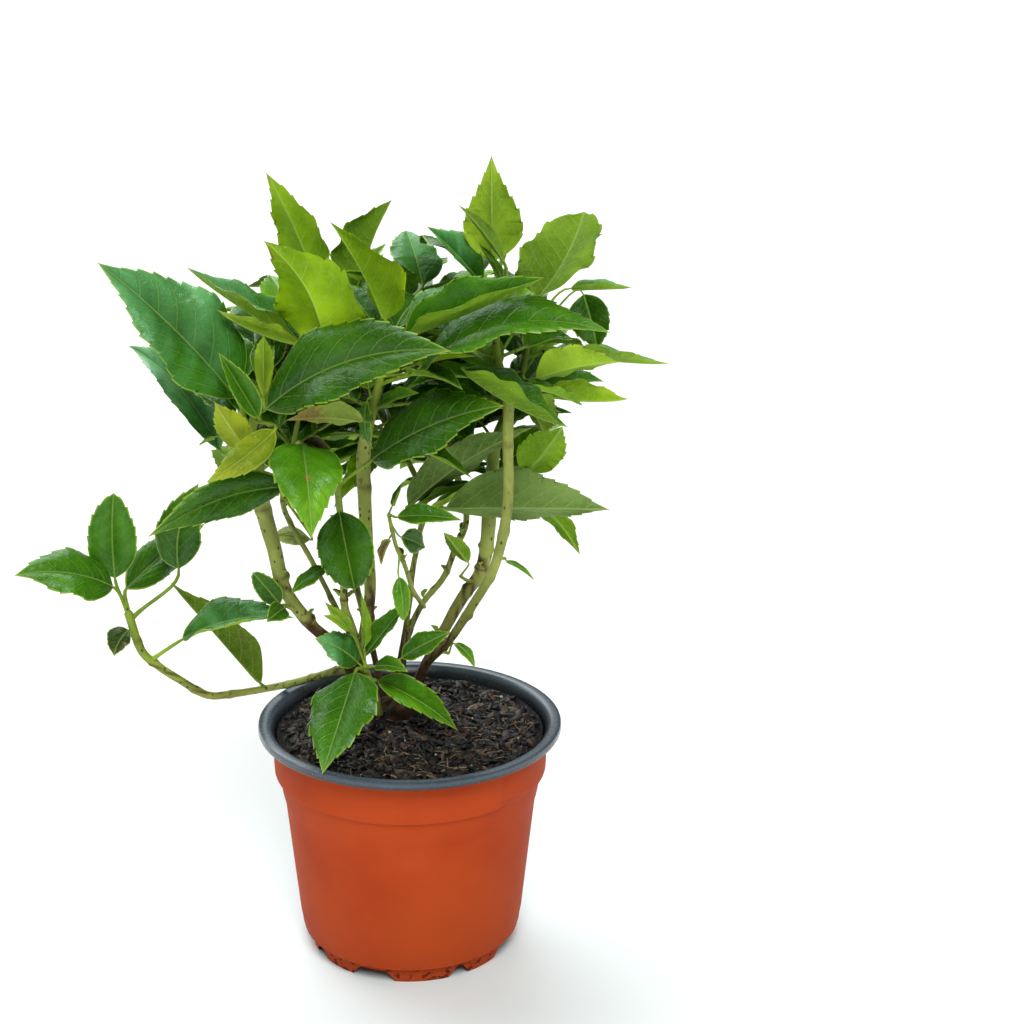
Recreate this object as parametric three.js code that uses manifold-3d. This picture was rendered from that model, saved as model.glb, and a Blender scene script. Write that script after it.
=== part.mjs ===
// A young hydrangea shrub in leaf, growing in a round nursery pot. Millimetres, +Z up.
// The origin is the middle of the pot's underside, on the surface that the pot stands on.
// +X is to the right of a viewer who stands in front of the plant, and +Y leads away from that viewer.
import * as THREE from 'three';
import { mergeVertices } from 'three/addons/utils/BufferGeometryUtils.js';
import Module from 'manifold-3d';

const wasm = await Module();
wasm.setup();

// Clearance between pieces that touch on the real plant
const GAP = 0.3;

// Pot: the outside as [radius, height] from the foot ring up to the rim
const POT_WALL = 1.2;
const POT_SEGMENTS = 32;
const FOOT_OUTSIDE = [[43.3, 0], [44.5, 7]];
const WALL_OUTSIDE = [[47.8, 10], [48.8, 16], [54, 67], [55, 74], [58.2, 83.5], [59, 99.6]];
const RIM_OUTSIDE = [
  [60.4, 101.2], [63.8, 101.2], [64, 99.8], [65, 99.9], [65, 102.6], [64.6, 103], [60.8, 103],
];
const RIM_INSIDE = [[58.6, 101.4]];
const PAD_RADIUS = 14;
const FOOT_INNER_RADIUS = 41.4;
const FLOOR_UNDERSIDE = 5.2;
const FLOOR_TOP = 6.8;
const PAD_TOP = 1.4;
const NOTCH_HEIGHT = 5;
const DRAIN_NOTCH = { turn: -22, width: 12.2 };
const VENT_NOTCH = { turn: 29.5, width: 6.2 };
const DRAIN_HOLE = { turn: 7, ring: 29, radius: 4 };
const QUARTERS = [0, 90, 180, 270];

// Potting soil: level round the root crown and lower towards the wall
const SOIL_TOP = 96.6;
const SOIL_RINGS = [46, 31];
const SOIL_HOLLOW = 2.4;

// Root crown: a low woody mound that every main stem leaves
const CROWN_SPOT = [-8, 21];
const CROWN_RADIUS = 11.5;
const CROWN_HEIGHT = 6;
const CROWN_FOOT = 96.9;
const CROWN_FORK = 123;

// Space that the whole plant keeps to, and the rounder space inside it for the leaves that the seed adds.
// A leaf whose tip would pass it isn't grown.
const ENVELOPE = { left: -170, right: 112, front: -58, back: 126, top: 345, bottom: 66 };
const CROWN_MIDDLE = [-8, 48, 246];
const CROWN_REACH = [90, 82, 54];

// Stems: the limb that carries each one, its radius at the foot and at the tip, and its course from the foot.
// A sideways stem leaves the crown's flank and not its top.
const STEMS = {
  stem_left: {
    from: 'root_crown', radius: [3.1, 3.9],
    course: [[-15, 16, 97], [-24, 15, 112], [-31, 14, 128], [-43, 10, 142], [-53, 6, 159], [-57, 3, 179],
      [-61, -1, 200]],
  },
  stem_centre: {
    from: 'root_crown', radius: [3.1, 3.3],
    course: [[-16, 17, 97], [-21, 16, 110], [-22, 16, 126], [-18, 18, 153], [-19, 18, 177], [-20, 18, 211]],
  },
  stem_right: {
    from: 'root_crown', radius: [2.5, 2.4],
    course: [[-1, 19, 97], [2, 21, 111], [7, 20, 121], [16, 16, 132], [26, 8, 151], [36, 0, 173],
      [41, -6, 201], [41, -6, 228], [41, -6, 245]],
  },
  stem_right_inner: {
    from: 'root_crown', radius: [3, 3.7],
    course: [[0, 25, 97], [3, 28, 110], [8, 29, 121], [14, 30, 133], [22, 30, 148], [29, 30, 158],
      [32, 30, 170], [33, 30, 184]],
  },
  stem_back: {
    from: 'root_crown', radius: [1.9, 1.6],
    course: [[-8, 22, 97], [-5, 23, 114], [-2, 25, 131], [4, 30, 144], [13, 37, 154], [18, 40, 166],
      [23, 42, 180]],
  },
  stem_back_thin: {
    from: 'root_crown', radius: [1.7, 1.5],
    course: [[-10, 27, 97], [-6, 31, 118], [-2, 36, 142], [-1, 42, 154], [2, 47, 170], [4, 50, 186]],
  },
  stem_left_inner: {
    from: 'root_crown', radius: [1.5, 1.3],
    course: [[-16, 24, 97], [-21, 23, 114], [-28, 22, 134], [-42, 22, 164], [-54, 21, 189]],
  },
  stem_rear: {
    from: 'root_crown', radius: [2, 1.8],
    course: [[-13, 29, 97], [-18, 36, 118], [-26, 46, 145], [-33, 56, 172], [-36, 64, 196]],
  },
  arching_shoot: {
    from: 'root_crown', radius: [1.9, 1.6], sideways: true,
    course: [[-27, 15, 119], [-33, 17, 117.5], [-42, 21, 113], [-52, 26, 108], [-62, 30, 104]],
  },
  front_stub: {
    from: 'stem_centre', radius: [1.9, 1.7],
    course: [[-22, 16, 124], [-23, 10, 133], [-26, 8, 144], [-28, 6, 152], [-28, 5, 165]],
  },
  slender_shoot: {
    from: 'stem_back', radius: [1, 1],
    course: [[4, 30, 144], [5, 20, 147], [1, 10, 158], [-2, 2, 172]],
  },
};

// Masses of foliage. carrier is the limb that each one grows on, course its own twig, and radius the
// twig's at both ends. A leaf is [share of the twig below it, heading, climb, length, width share,
// stalk length, droop, tilt, fold, swing, lift]: lengths in mm, angles in degrees, heading 0 to the right,
// 90 away from the viewer. swing and lift turn and raise the stalk away from the blade's own line.
// fill gives the nodes at which the seeded rule adds pairs of leaves, the lowest pair's heading and the
// sector that they keep to.
const MASSES = {
  crown_left: {
    carrier: 'stem_left', radius: [3.7, 1.3],
    course: [[-61, -1, 200], [-63, -4, 221], [-64, -6, 231], [-59, -8, 246], [-57, -8, 257]],
    leaves: [
      [0.50, 187, 54, 76, 0.58, 17, 14, -43, 18, 13, 16],
      [0.35, 138, 52, 70, 0.41, 23, 43, -27, 46, -3, -68],
      [0.80, 341, 43, 86, 0.41, 11, 44, 56, 7, -53, -61],
      [0.75, 279, 65, 36, 0.37, 4, 16, -2, 52, 18, -40],
      [0.70, 191, 62, 31, 0.41, 12, 1, -77, 39, 84, -70],
      [0.60, 226, -31, 38, 0.35, 16, -17, -50, 2, 82, 29],
      [0.35, 245, 44, 35, 0.42, 9, -8, 41, 25, 25, -42],
      [0.40, 163, -19, 9, 0.30, 17, 23, -15, 20, -5, 20],
    ],
    fill: { nodes: 4, turn: 110, sector: [85, 215] },
  },
  crown_inner: {
    carrier: 'stem_left_inner', radius: [1.3, 0.9],
    course: [[-54, 21, 189], [-53, 14, 204], [-49, 6, 219], [-46, 3, 232], [-43, 8, 246], [-43, 14, 259]],
    leaves: [
      [0.20, 222, 10, 67, 0.28, 24, 33, -90, 2, 55, 3],
      [0.45, 283, -23, 42, 0.74, 20, 57, -11, 5, 5, 41],
      [1.00, 175, 24, 56, 0.57, 7, -15, -2, 24, 53, 54],
      [0.95, 195, 13, 36, 0.40, 18, -25, 3, 37, 68, 29],
      [0.88, 189, 88, 52, 0.98, 28, 51, 40, 4, 108, -54],
      [0.10, 128, -2, 29, 0.32, 28, 20, -78, 24, -73, -54],
    ],
    fill: { nodes: 4, turn: 75, sector: [40, 170] },
  },
  crown_front: {
    carrier: 'stem_centre', radius: [3.2, 1.3],
    course: [[-20, 18, 211], [-18, 14, 227], [-14, 6, 242], [-10, 2, 258], [-8, 4, 270]],
    leaves: [
      [1.00, 190, 70, 46, 0.84, 7, 16, 28, 18, 9, 8],
      [0.75, 341, 23, 65, 0.42, 20, -6, 38, 46, -29, 23],
      [0.62, 343, 44, 84, 0.49, 25, 59, 23, 2, -21, -19],
      [0.42, 190, 14, 31, 0.49, 21, 23, 51, 16, 74, -10],
      [0.55, 238, -68, 23, 0.37, 5, 62, 10, 3, -21, 44],
      [0.40, 315, 34, 27, 0.35, 6, 20, 46, 30, 0, 0],
    ],
    fill: { nodes: 4, turn: 60, sector: [20, 150] },
  },
  crown_right: {
    carrier: 'stem_right', radius: [2.4, 1.2],
    course: [[41, -6, 245], [39, -2, 253], [36, 4, 264], [36, 10, 280], [36, 12, 294]],
    leaves: [
      [0.20, 346, -38, 48, 0.63, 20, -25, -1, 32, -140, 63],
      [1.00, 266, 79, 44, 0.59, 6, -4, 4, 16, -88, -9],
      [0.62, 233, 50, 40, 0.24, 29, 16, 38, 52, 112, 34],
      [0.80, 167, 60, 19, 0.36, 14, 0, -10, 34, 118, -10],
      [0.85, 143, 42, 35, 0.53, 8, 14, -33, 47, 31, -6],
      [0.75, 319, 45, 43, 0.85, 23, -25, -16, 13, 2, -22],
      [1.00, 59, 58, 22, 0.36, 4, 0, -60, 25, 0, 0],
    ],
    fill: { nodes: 4, turn: 30, sector: [-10, 130] },
  },
  crown_far_right: {
    carrier: 'stem_right_inner', radius: [3.6, 1.2],
    course: [[33, 30, 184], [34, 32, 200], [36, 34, 218], [43, 36, 235], [47, 36, 250], [50, 34, 266]],
    leaves: [
      [0.85, 0, -9, 53, 0.39, 13, -11, -1, 23, 7, 24],
      [0.75, 6, 21, 35, 0.62, 26, 22, -55, 21, -82, -10],
      [0.70, 353, -11, 36, 0.50, 14, -20, -27, 41, -28, 0],
      [1.00, 3, 0, 26, 0.43, 25, -1, 6, 31, 21, 42],
      [0.95, 342, -70, 23, 0.84, 30, 7, 75, 20, 31, 108],
      [0.10, 327, 47, 30, 0.70, 24, -10, -47, 12, -4, -7],
      [0.20, 9, -43, 33, 0.46, 34, 22, -39, 2, 38, 16],
    ],
    fill: { nodes: 5, turn: 50, sector: [10, 140] },
  },
  crown_back: {
    carrier: 'stem_back', radius: [1.6, 0.9],
    course: [[23, 42, 180], [18, 50, 199], [11, 58, 220], [4, 62, 241], [0, 60, 260], [-2, 58, 273]],
    leaves: [
      [0.03, 342, 7, 72, 0.50, 29, 3, -80, 46, -87, 13],
      [1.00, 108, 48, 33, 0.71, 10, 26, 7, 4, -60, -7],
    ],
    fill: { nodes: 6, turn: 85, sector: [-10, 190] },
  },
  crown_back_left: {
    carrier: 'stem_back_thin', radius: [1.5, 0.9],
    course: [[4, 50, 186], [-6, 58, 206], [-19, 62, 227], [-28, 58, 251], [-31, 52, 270]],
    leaves: [
      [1.00, 359, 80, 38, 0.90, 15, 24, -19, 37, 16, -23],
      [0.95, 200, 73, 50, 0.53, 22, 13, 34, 2, 2, -17],
      [0.02, 338, 47, 70, 0.32, 21, 22, -39, 16, -81, -42],
      [0.08, 4, 34, 31, 0.36, 11, 20, 14, 20, -54, -38],
    ],
    fill: { nodes: 6, turn: 60, sector: [20, 200] },
  },
  crown_rear: {
    carrier: 'stem_rear', radius: [1.8, 0.9],
    course: [[-36, 64, 196], [-38, 68, 214], [-42, 66, 233], [-48, 58, 252], [-52, 50, 268]],
    leaves: [],
    fill: { nodes: 6, turn: 100, sector: [30, 260] },
  },
  low_shoot: {
    carrier: 'arching_shoot', radius: [1.6, 1.1],
    course: [[-62, 30, 104], [-80, 24, 103], [-90, 16, 106], [-101, 8, 117], [-109, 4, 125], [-115, 2, 133],
      [-119, 0, 150]],
    leaves: [
      [0.03, 169, 48, 60, 0.49, 4, 0, 57, 23, 33, -2],
      [0.72, 1, 32, 50, 0.49, 18, 41, 23, 13, -9, 4],
      [1.00, 207, 36, 43, 0.66, 15, 41, -30, 2, 17, 27],
      [1.00, 125, 83, 39, 0.53, 16, -25, -27, 2, 18, -20],
      [1.00, 68, 15, 66, 0.26, 11, 14, 44, 2, -15, 77],
      [0.97, 22, 97, 39, 0.52, 30, 45, 61, 2, -6, -52],
      [0.93, 218, -30, 13, 0.95, 2, 48, -29, 24, -11, 25],
    ],
    fill: { nodes: 0, turn: 0, sector: [0, 0] },
  },
  front_shoot: {
    carrier: 'front_stub', radius: [1.7, 1.1],
    course: [[-28, 5, 165], [-28, 3, 184], [-29, 2, 200], [-29, 0, 208]],
    leaves: [
      [0.80, 327, -79, 34, 0.89, 8, -4, 49, 38, 24, -11],
      [1.00, 341, 40, 64, 0.56, 20, 27, 39, 2, -3, -2],
      [0.15, 198, -22, 18, 0.51, 8, 20, -22, 6, 0, -2],
    ],
    fill: { nodes: 0, turn: 0, sector: [0, 0] },
  },
  inner_shoot: {
    carrier: 'slender_shoot', radius: [1, 0.8],
    course: [[-2, 2, 172], [-5, -4, 182], [-7, -6, 192], [-8, -6, 197]],
    leaves: [
      [1.00, 348, 11, 28, 0.38, 4, 19, 36, 18, -10, -22],
      [1.00, 60, 46, 12, 0.40, 4, 0, -31, 25, 0, 0],
      [0.20, 296, -52, 19, 0.42, 10, 52, 35, 18, -26, 0],
      [0.70, 53, -24, 18, 0.61, 10, 11, 82, 13, -1, -24],
    ],
    fill: { nodes: 0, turn: 0, sector: [0, 0] },
  },
  basal_rosette: {
    carrier: 'root_crown', radius: [1.9, 1.2],
    course: [[-14, 12, 99], [-16, 8, 112], [-18, 3, 121], [-19, 0, 127]],
    leaves: [
      [1.00, 6, 54, 31, 0.42, 5, 5, 27, 22, 87, -17],
      [0.80, 200, 50, 23, 0.72, 6, 28, -49, 2, 0, -1],
      [0.80, 257, -31, 52, 0.62, 16, -2, 15, 2, -2, 51],
      [0.60, 227, 47, 19, 0.28, 25, 24, -57, 2, -21, 24],
      [0.60, 341, -12, 41, 0.41, 4, 27, 42, 39, 1, 3],
      [0.90, 327, 23, 18, 0.50, 5, 35, 38, 20, 0, 0],
      [0.90, 6, 34, 24, 0.52, 16, 12, 32, 11, -2, -17],
      [1.00, 168, 55, 17, 0.39, 16, 6, -44, 20, -4, 15],
      [1.00, 111, 82, 24, 0.34, 8, 0, 43, 30, 0, 0],
    ],
    fill: { nodes: 0, turn: 0, sector: [0, 0] },
  },
  left_sprig: {
    carrier: 'stem_left', radius: [0.9, 0.7],
    course: [[-47, 8, 149], [-50, 4, 151], [-53, 1, 154]],
    leaves: [
      [1.00, 184, 54, 18, 0.56, 2, 3, -87, 2, 10, -35],
      [0.80, 243, 2, 14, 0.70, 2, 20, -40, 15, 0, 0],
    ],
    fill: { nodes: 0, turn: 0, sector: [0, 0] },
  },
  right_sprig: {
    carrier: 'stem_right_inner', radius: [0.9, 0.7],
    course: [[27, 30, 155], [24, 25, 157], [21, 22, 160]],
    leaves: [
      [1.00, 218, 51, 21, 0.43, 7, 0, 47, 21, -17, 69],
    ],
    fill: { nodes: 0, turn: 0, sector: [0, 0] },
  },
  foot_sprig: {
    carrier: 'stem_right', radius: [0.8, 0.7],
    course: [[12, 18, 126.5], [14, 16.5, 127], [16, 15, 127]],
    leaves: [
      [1.00, 339, -20, 14, 0.44, 6, 51, 16, 7, -9, 79],
    ],
    fill: { nodes: 0, turn: 0, sector: [0, 0] },
  },
  right_twiglet: {
    carrier: 'stem_right', radius: [0.8, 0.7],
    course: [[37, -1, 176], [38.6, -0.6, 176.2], [40.4, -0.2, 176.2]],
    leaves: [
      [1.00, 350, -21, 15, 0.28, 1, 24, 15, 13, -5, -48],
    ],
    fill: { nodes: 0, turn: 0, sector: [0, 0] },
  },
};

// Leaf blade: half width as a share of the greatest, at shares of the length, and the thickest midrib
const BLADE_SHAPE = [[0, 0.1], [0.13, 0.68], [0.36, 1], [0.6, 0.84], [0.83, 0.4], [1, 0.02]];
const BLADE_THICKNESS = 1.3;
const STALK_RADIUS = 0.9;

// The rule for leaves that the seed places, from the foot of the twig to its tip where there are two values
const FILL_SPAN = [0.12, 1];
const FILL_CLIMB = [-8, 52];
const FILL_LENGTH = [44, 64];
const FILL_WIDTH = [0.48, 0.6];
const FILL_STALK = [8, 16];
const FILL_DROOP = [20, 45];
const FILL_TILT = [-14, 14];
const FILL_FOLD = [12, 24];
const FILL_JITTER = [-14, 14];
const SHRINKING = [1, 0.8, 0.64];

// Where the way is blocked, headings and climbs are tried on a widening spiral round the wanted ones
const PLANNED_TRIES = 9;
const SEEDED_TRIES = 20;
const SPIRAL_TURN = 137.5;
const SPIRAL_ASIDE = 2.6;
const SPIRAL_LIFT = 1.8;

const rad = THREE.MathUtils.degToRad;

function seeded(seed) {
  let state = seed * 7919 + 17;
  return () => {
    state = (state * 48271) % 2147483647;
    return state / 2147483647;
  };
}

function between(range, share) {
  return range[0] + (range[1] - range[0]) * share;
}

// A closed skin over rings with the same number of points, with a flat cap at each end
function loft(rings) {
  const sides = rings[0].length;
  const faces = [];
  for (let i = 0; i + 1 < rings.length; i += 1) {
    for (let k = 0; k < sides; k += 1) {
      const near = i * sides + k;
      const next = i * sides + ((k + 1) % sides);
      faces.push(near, next, next + sides, near, next + sides, near + sides);
    }
  }
  const last = (rings.length - 1) * sides;
  for (let k = 1; k + 1 < sides; k += 1) {
    faces.push(0, k + 1, k, last, last + k, last + k + 1);
  }
  const geometry = new THREE.BufferGeometry();
  const places = rings.flat().flatMap((point) => point.toArray());
  geometry.setAttribute('position', new THREE.Float32BufferAttribute(places, 3));
  geometry.setIndex(faces);
  return geometry;
}

function solidOf(geometry) {
  const bare = geometry.clone();
  bare.deleteAttribute('normal');
  bare.deleteAttribute('uv');
  const merged = mergeVertices(bare, 1e-4);
  const vertProperties = new Float32Array(merged.attributes.position.array);
  const triVerts = new Uint32Array(merged.index.array);
  return new wasm.Manifold(new wasm.Mesh({ numProp: 3, vertProperties, triVerts }));
}

function geometryOf(solid) {
  const { vertProperties, triVerts } = solid.getMesh();
  const indexed = new THREE.BufferGeometry();
  indexed.setAttribute('position', new THREE.BufferAttribute(vertProperties, 3));
  indexed.setIndex(new THREE.BufferAttribute(triVerts, 1));
  const geometry = indexed.toNonIndexed();
  geometry.computeVertexNormals();
  return geometry;
}

function fused(solids) {
  return solids.reduce((whole, piece) => whole.add(piece));
}

// The one outer body of a fused solid: sealed hollows are filled and loose scraps dropped
function wholeBody(solid) {
  const bodies = solid.decompose();
  return bodies.reduce((largest, body) => (body.volume() > largest.volume() ? body : largest));
}

function courseCurve(course) {
  const points = course.map((place) => new THREE.Vector3(...place));
  return new THREE.CatmullRomCurve3(points, false, 'catmullrom', 0.5);
}

// A tapering limb from one share of its course to another. spare widens and lengthens it.
function limb(course, radius, sides, steps, range = [0, 1], spare = 0) {
  const curve = courseCurve(course);
  const rings = [];
  let side = new THREE.Vector3(0, 1, 0);
  for (let i = 0; i <= steps; i += 1) {
    const share = between(range, i / steps);
    const heading = curve.getTangent(share);
    const centre = curve.getPoint(share);
    if (i === steps) centre.addScaledVector(heading, spare);
    side = side.clone().addScaledVector(heading, -side.dot(heading)).normalize();
    const other = new THREE.Vector3().crossVectors(heading, side);
    const reach = between(radius, share) + spare;
    const ring = [];
    for (let k = 0; k < sides; k += 1) {
      const angle = (2 * Math.PI * k) / sides;
      const point = centre.clone().addScaledVector(side, reach * Math.cos(angle));
      ring.push(point.addScaledVector(other, reach * Math.sin(angle)));
    }
    rings.push(ring);
  }
  return loft(rings);
}

function turnedProfile(profile) {
  const points = profile.map(([radius, height]) => new THREE.Vector2(radius, height));
  return new THREE.LatheGeometry(points, POT_SEGMENTS).rotateX(Math.PI / 2);
}

// Pot: one thin formed wall with a rolled rim, a raised floor, a centre pad and a notched foot ring
function potSolid() {
  const inside = WALL_OUTSIDE.map(([radius, height]) => [radius - POT_WALL, height]).reverse();
  const profile = [
    [0, 0], [PAD_RADIUS, 0], [PAD_RADIUS + 3, FLOOR_UNDERSIDE], [FOOT_INNER_RADIUS - 0.8, FLOOR_UNDERSIDE],
    [FOOT_INNER_RADIUS, 0], ...FOOT_OUTSIDE, ...WALL_OUTSIDE, ...RIM_OUTSIDE, ...RIM_INSIDE, ...inside,
    [FOOT_OUTSIDE[1][0] - POT_WALL, FLOOR_TOP], [PAD_RADIUS + 2, FLOOR_TOP], [PAD_RADIUS - 1.2, PAD_TOP],
    [0, PAD_TOP],
  ];
  let pot = solidOf(turnedProfile(profile));
  for (const quarter of QUARTERS) {
    pot = pot.subtract(drainNotch(quarter + DRAIN_NOTCH.turn));
    pot = pot.subtract(ventNotch(quarter + VENT_NOTCH.turn));
    pot = pot.subtract(drainHole(quarter + DRAIN_HOLE.turn));
  }
  return wholeBody(pot);
}

// Cuts are made at the front of the pot and turned to their place round it
function turnedCut(geometry, turn) {
  return solidOf(geometry.rotateZ(rad(turn)));
}

function drainNotch(turn) {
  const cut = new THREE.BoxGeometry(DRAIN_NOTCH.width, 9, 2 * NOTCH_HEIGHT);
  return turnedCut(cut.translate(0, -FOOT_OUTSIDE[0][0], 0), turn);
}

function ventNotch(turn) {
  const half = VENT_NOTCH.width / 2;
  const outline = new THREE.Shape([new THREE.Vector2(-half - 1, -1.6), new THREE.Vector2(half + 1, -1.6),
    new THREE.Vector2(0, NOTCH_HEIGHT)]);
  const cut = new THREE.ExtrudeGeometry(outline, { depth: 9, bevelEnabled: false }).rotateX(Math.PI / 2);
  return turnedCut(cut.translate(0, -FOOT_OUTSIDE[0][0] + 4.5, 0), turn);
}

function drainHole(turn) {
  const cut = new THREE.CylinderGeometry(DRAIN_HOLE.radius, DRAIN_HOLE.radius, 8, 8).rotateX(Math.PI / 2);
  return turnedCut(cut.translate(0, -DRAIN_HOLE.ring, FLOOR_TOP), turn);
}

// Soil: fills the pot, clear of its wall, with a top that sinks in places
function soilGeometry() {
  const inset = POT_WALL + GAP + 0.1;
  const wall = WALL_OUTSIDE.slice(0, -1).map(([radius, height]) => [radius - inset, height]);
  const top = WALL_OUTSIDE.at(-1)[0] - inset;
  const floor = FLOOR_TOP + GAP;
  const profile = [
    [0, PAD_TOP + GAP], [PAD_RADIUS - 1.6, PAD_TOP + GAP], [PAD_RADIUS + 1.5, floor],
    [FOOT_OUTSIDE[1][0] - inset, floor], ...wall, [top, SOIL_TOP - 1],
    ...SOIL_RINGS.map((ring) => [ring, SOIL_TOP]), [0, SOIL_TOP],
  ];
  const geometry = turnedProfile(profile);
  const places = geometry.attributes.position;
  for (let i = 0; i < places.count; i += 1) {
    if (places.getZ(i) < SOIL_TOP - 2) continue;
    places.setZ(i, places.getZ(i) - soilDip(places.getX(i), places.getY(i)));
  }
  return geometry;
}

function soilDip(x, y) {
  const distance = Math.hypot(x - CROWN_SPOT[0], y - CROWN_SPOT[1]);
  const fade = THREE.MathUtils.smoothstep(distance, CROWN_RADIUS + 4, CROWN_RADIUS + 18);
  const waves = 0.5 + 0.25 * Math.sin(x * 0.19 + 1) + 0.25 * Math.sin(y * 0.23 - x * 0.07);
  return SOIL_HOLLOW * fade * waves;
}

function limbSides(radius) {
  return radius[0] > 2.2 ? 7 : 5;
}

// The share of a stem's course at which it leaves the forked crown
function forkShare(course) {
  const curve = courseCurve(course);
  let share = 0;
  while (curve.getPoint(share).z < CROWN_FORK) share += 0.002;
  return share;
}

// Root crown: the mound with the first stretch of each main stem. spare widens it.
function rootCrown(spare = 0) {
  const profile = [[0, 0], [1, 0], [0.85, 0.55], [0.45, 0.9], [0, 1]];
  const mound = new THREE.LatheGeometry(profile.map(([r, z]) => new THREE.Vector2(
    r * (CROWN_RADIUS + spare), z * (CROWN_HEIGHT + spare))), 10).rotateX(Math.PI / 2);
  const pieces = [solidOf(mound.translate(...CROWN_SPOT, CROWN_FOOT))];
  for (const { from, course, radius, sideways } of Object.values(STEMS)) {
    if (from !== 'root_crown' || sideways) continue;
    pieces.push(solidOf(limb(course, radius, limbSides(radius), 3, [0, forkShare(course)], spare)));
  }
  const ground = new THREE.BoxGeometry(80, 80, 20).translate(...CROWN_SPOT, CROWN_FOOT - 10);
  return wholeBody(fused(pieces).subtract(solidOf(ground)));
}

// Leaf: the blade bends down along its length and is folded up about its midrib
function leafFrames(start, [, turn, climb, length, , stalk, droop, tilt, , swing, lift]) {
  const frameAt = (slope, heading = rad(turn)) => {
    const rise = rad(slope);
    const level = Math.cos(rise);
    const ahead = new THREE.Vector3(level * Math.cos(heading), level * Math.sin(heading), Math.sin(rise));
    const flat = new THREE.Vector3(-Math.sin(heading), Math.cos(heading), 0);
    const side = flat.clone().applyAxisAngle(ahead, rad(tilt));
    return { ahead, side, up: new THREE.Vector3().crossVectors(ahead, side) };
  };
  const frames = [{ centre: start, ...frameAt(climb + lift, rad(turn + swing)) }];
  let centre = start.clone().addScaledVector(frames[0].ahead, stalk);
  let reached = 0;
  for (const [share] of BLADE_SHAPE) {
    const middle = climb - droop * (share + reached) / 2;
    centre = centre.clone().addScaledVector(frameAt(middle).ahead, length * (share - reached));
    reached = share;
    frames.push({ centre, ...frameAt(climb - droop * share) });
  }
  return frames;
}

// Four points round the midrib: the edge, the back, the other edge and the face
function leafRing({ centre, side, up }, half, thick, fold) {
  const out = half * Math.cos(rad(fold));
  const lift = half * Math.sin(rad(fold));
  return [
    centre.clone().addScaledVector(side, -out).addScaledVector(up, lift),
    centre.clone().addScaledVector(up, -thick),
    centre.clone().addScaledVector(side, out).addScaledVector(up, lift),
    centre.clone().addScaledVector(up, thick),
  ];
}

function leafRings(start, leaf, spare = 0) {
  const [, , , length, width, , , , fold] = leaf;
  const size = THREE.MathUtils.clamp(length / 40, 0.5, 1);
  const [stalk, ...blade] = leafFrames(start, leaf);
  const stalkRing = leafRing(stalk, STALK_RADIUS * size + spare, STALK_RADIUS * size + spare, 0);
  const bladeRings = blade.map((frame, i) => {
    const [share, spread] = BLADE_SHAPE[i];
    const half = Math.max((length * width * spread) / 2, i === 0 ? STALK_RADIUS * size : 0) + spare;
    const thick = (BLADE_THICKNESS * size * (1 - 0.6 * share)) / 2 + spare;
    return leafRing(frame, half, thick, i === 0 ? 0 : fold);
  });
  return { stalkRing, bladeRings, tip: blade.at(-1).centre };
}

function leafSolid(start, leaf) {
  const { stalkRing, bladeRings } = leafRings(start, leaf);
  return solidOf(loft([stalkRing, ...bladeRings]));
}

// The room that a leaf needs: its blade and its stalk, each a gap wider all round
function leafRoom(start, leaf) {
  const { stalkRing, bladeRings, tip } = leafRings(start, leaf, GAP);
  return { blade: solidOf(loft(bladeRings)), stalk: solidOf(loft([stalkRing, bladeRings[0]])), tip };
}

function touches(one, other) {
  const a = one.boundingBox();
  const b = other.boundingBox();
  if ([0, 1, 2].some((axis) => a.min[axis] > b.max[axis] || b.min[axis] > a.max[axis])) return false;
  return !one.intersect(other).isEmpty();
}

function insideEnvelope({ x, y, z }) {
  return x > ENVELOPE.left && x < ENVELOPE.right && y > ENVELOPE.front && y < ENVELOPE.back
    && z > ENVELOPE.bottom && z < ENVELOPE.top;
}

function insideCrown(tip) {
  const shares = tip.toArray().map((value, axis) => (value - CROWN_MIDDLE[axis]) / CROWN_REACH[axis]);
  return Math.hypot(...shares) < 1;
}

// A leaf may pass its own twig and the stalks beside it, and nothing else
function isBlocked({ blade, stalk, tip }, mass, limbs, grown) {
  if (!insideEnvelope(tip)) return true;
  if (limbs.some((piece) => touches(blade, piece) || touches(stalk, piece))) return true;
  return grown.some((other) => touches(blade, other.blade) || (other.mass !== mass
    && (touches(blade, other.stalk) || touches(stalk, other.blade) || touches(stalk, other.stalk))));
}

// Grows a leaf, turned aside a little where the way is blocked, or skips it
function growLeaf(mass, curve, leaf, limbs, grown, seededLeaf = false) {
  const start = curve.getPoint(leaf[0]);
  for (const size of seededLeaf ? SHRINKING : [1]) {
    for (let step = 0; step < (seededLeaf ? SEEDED_TRIES : PLANNED_TRIES); step += 1) {
      const tried = [...leaf];
      tried[1] += SPIRAL_ASIDE * step * Math.cos(rad(SPIRAL_TURN * step));
      tried[2] += SPIRAL_LIFT * step * Math.sin(rad(SPIRAL_TURN * step));
      tried[3] *= size;
      const room = leafRoom(start, tried);
      if (seededLeaf && !insideCrown(room.tip)) continue;
      if (isBlocked(room, mass, limbs, grown)) continue;
      grown.push({ mass, start, leaf: tried, ...room });
      return;
    }
  }
}

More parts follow.
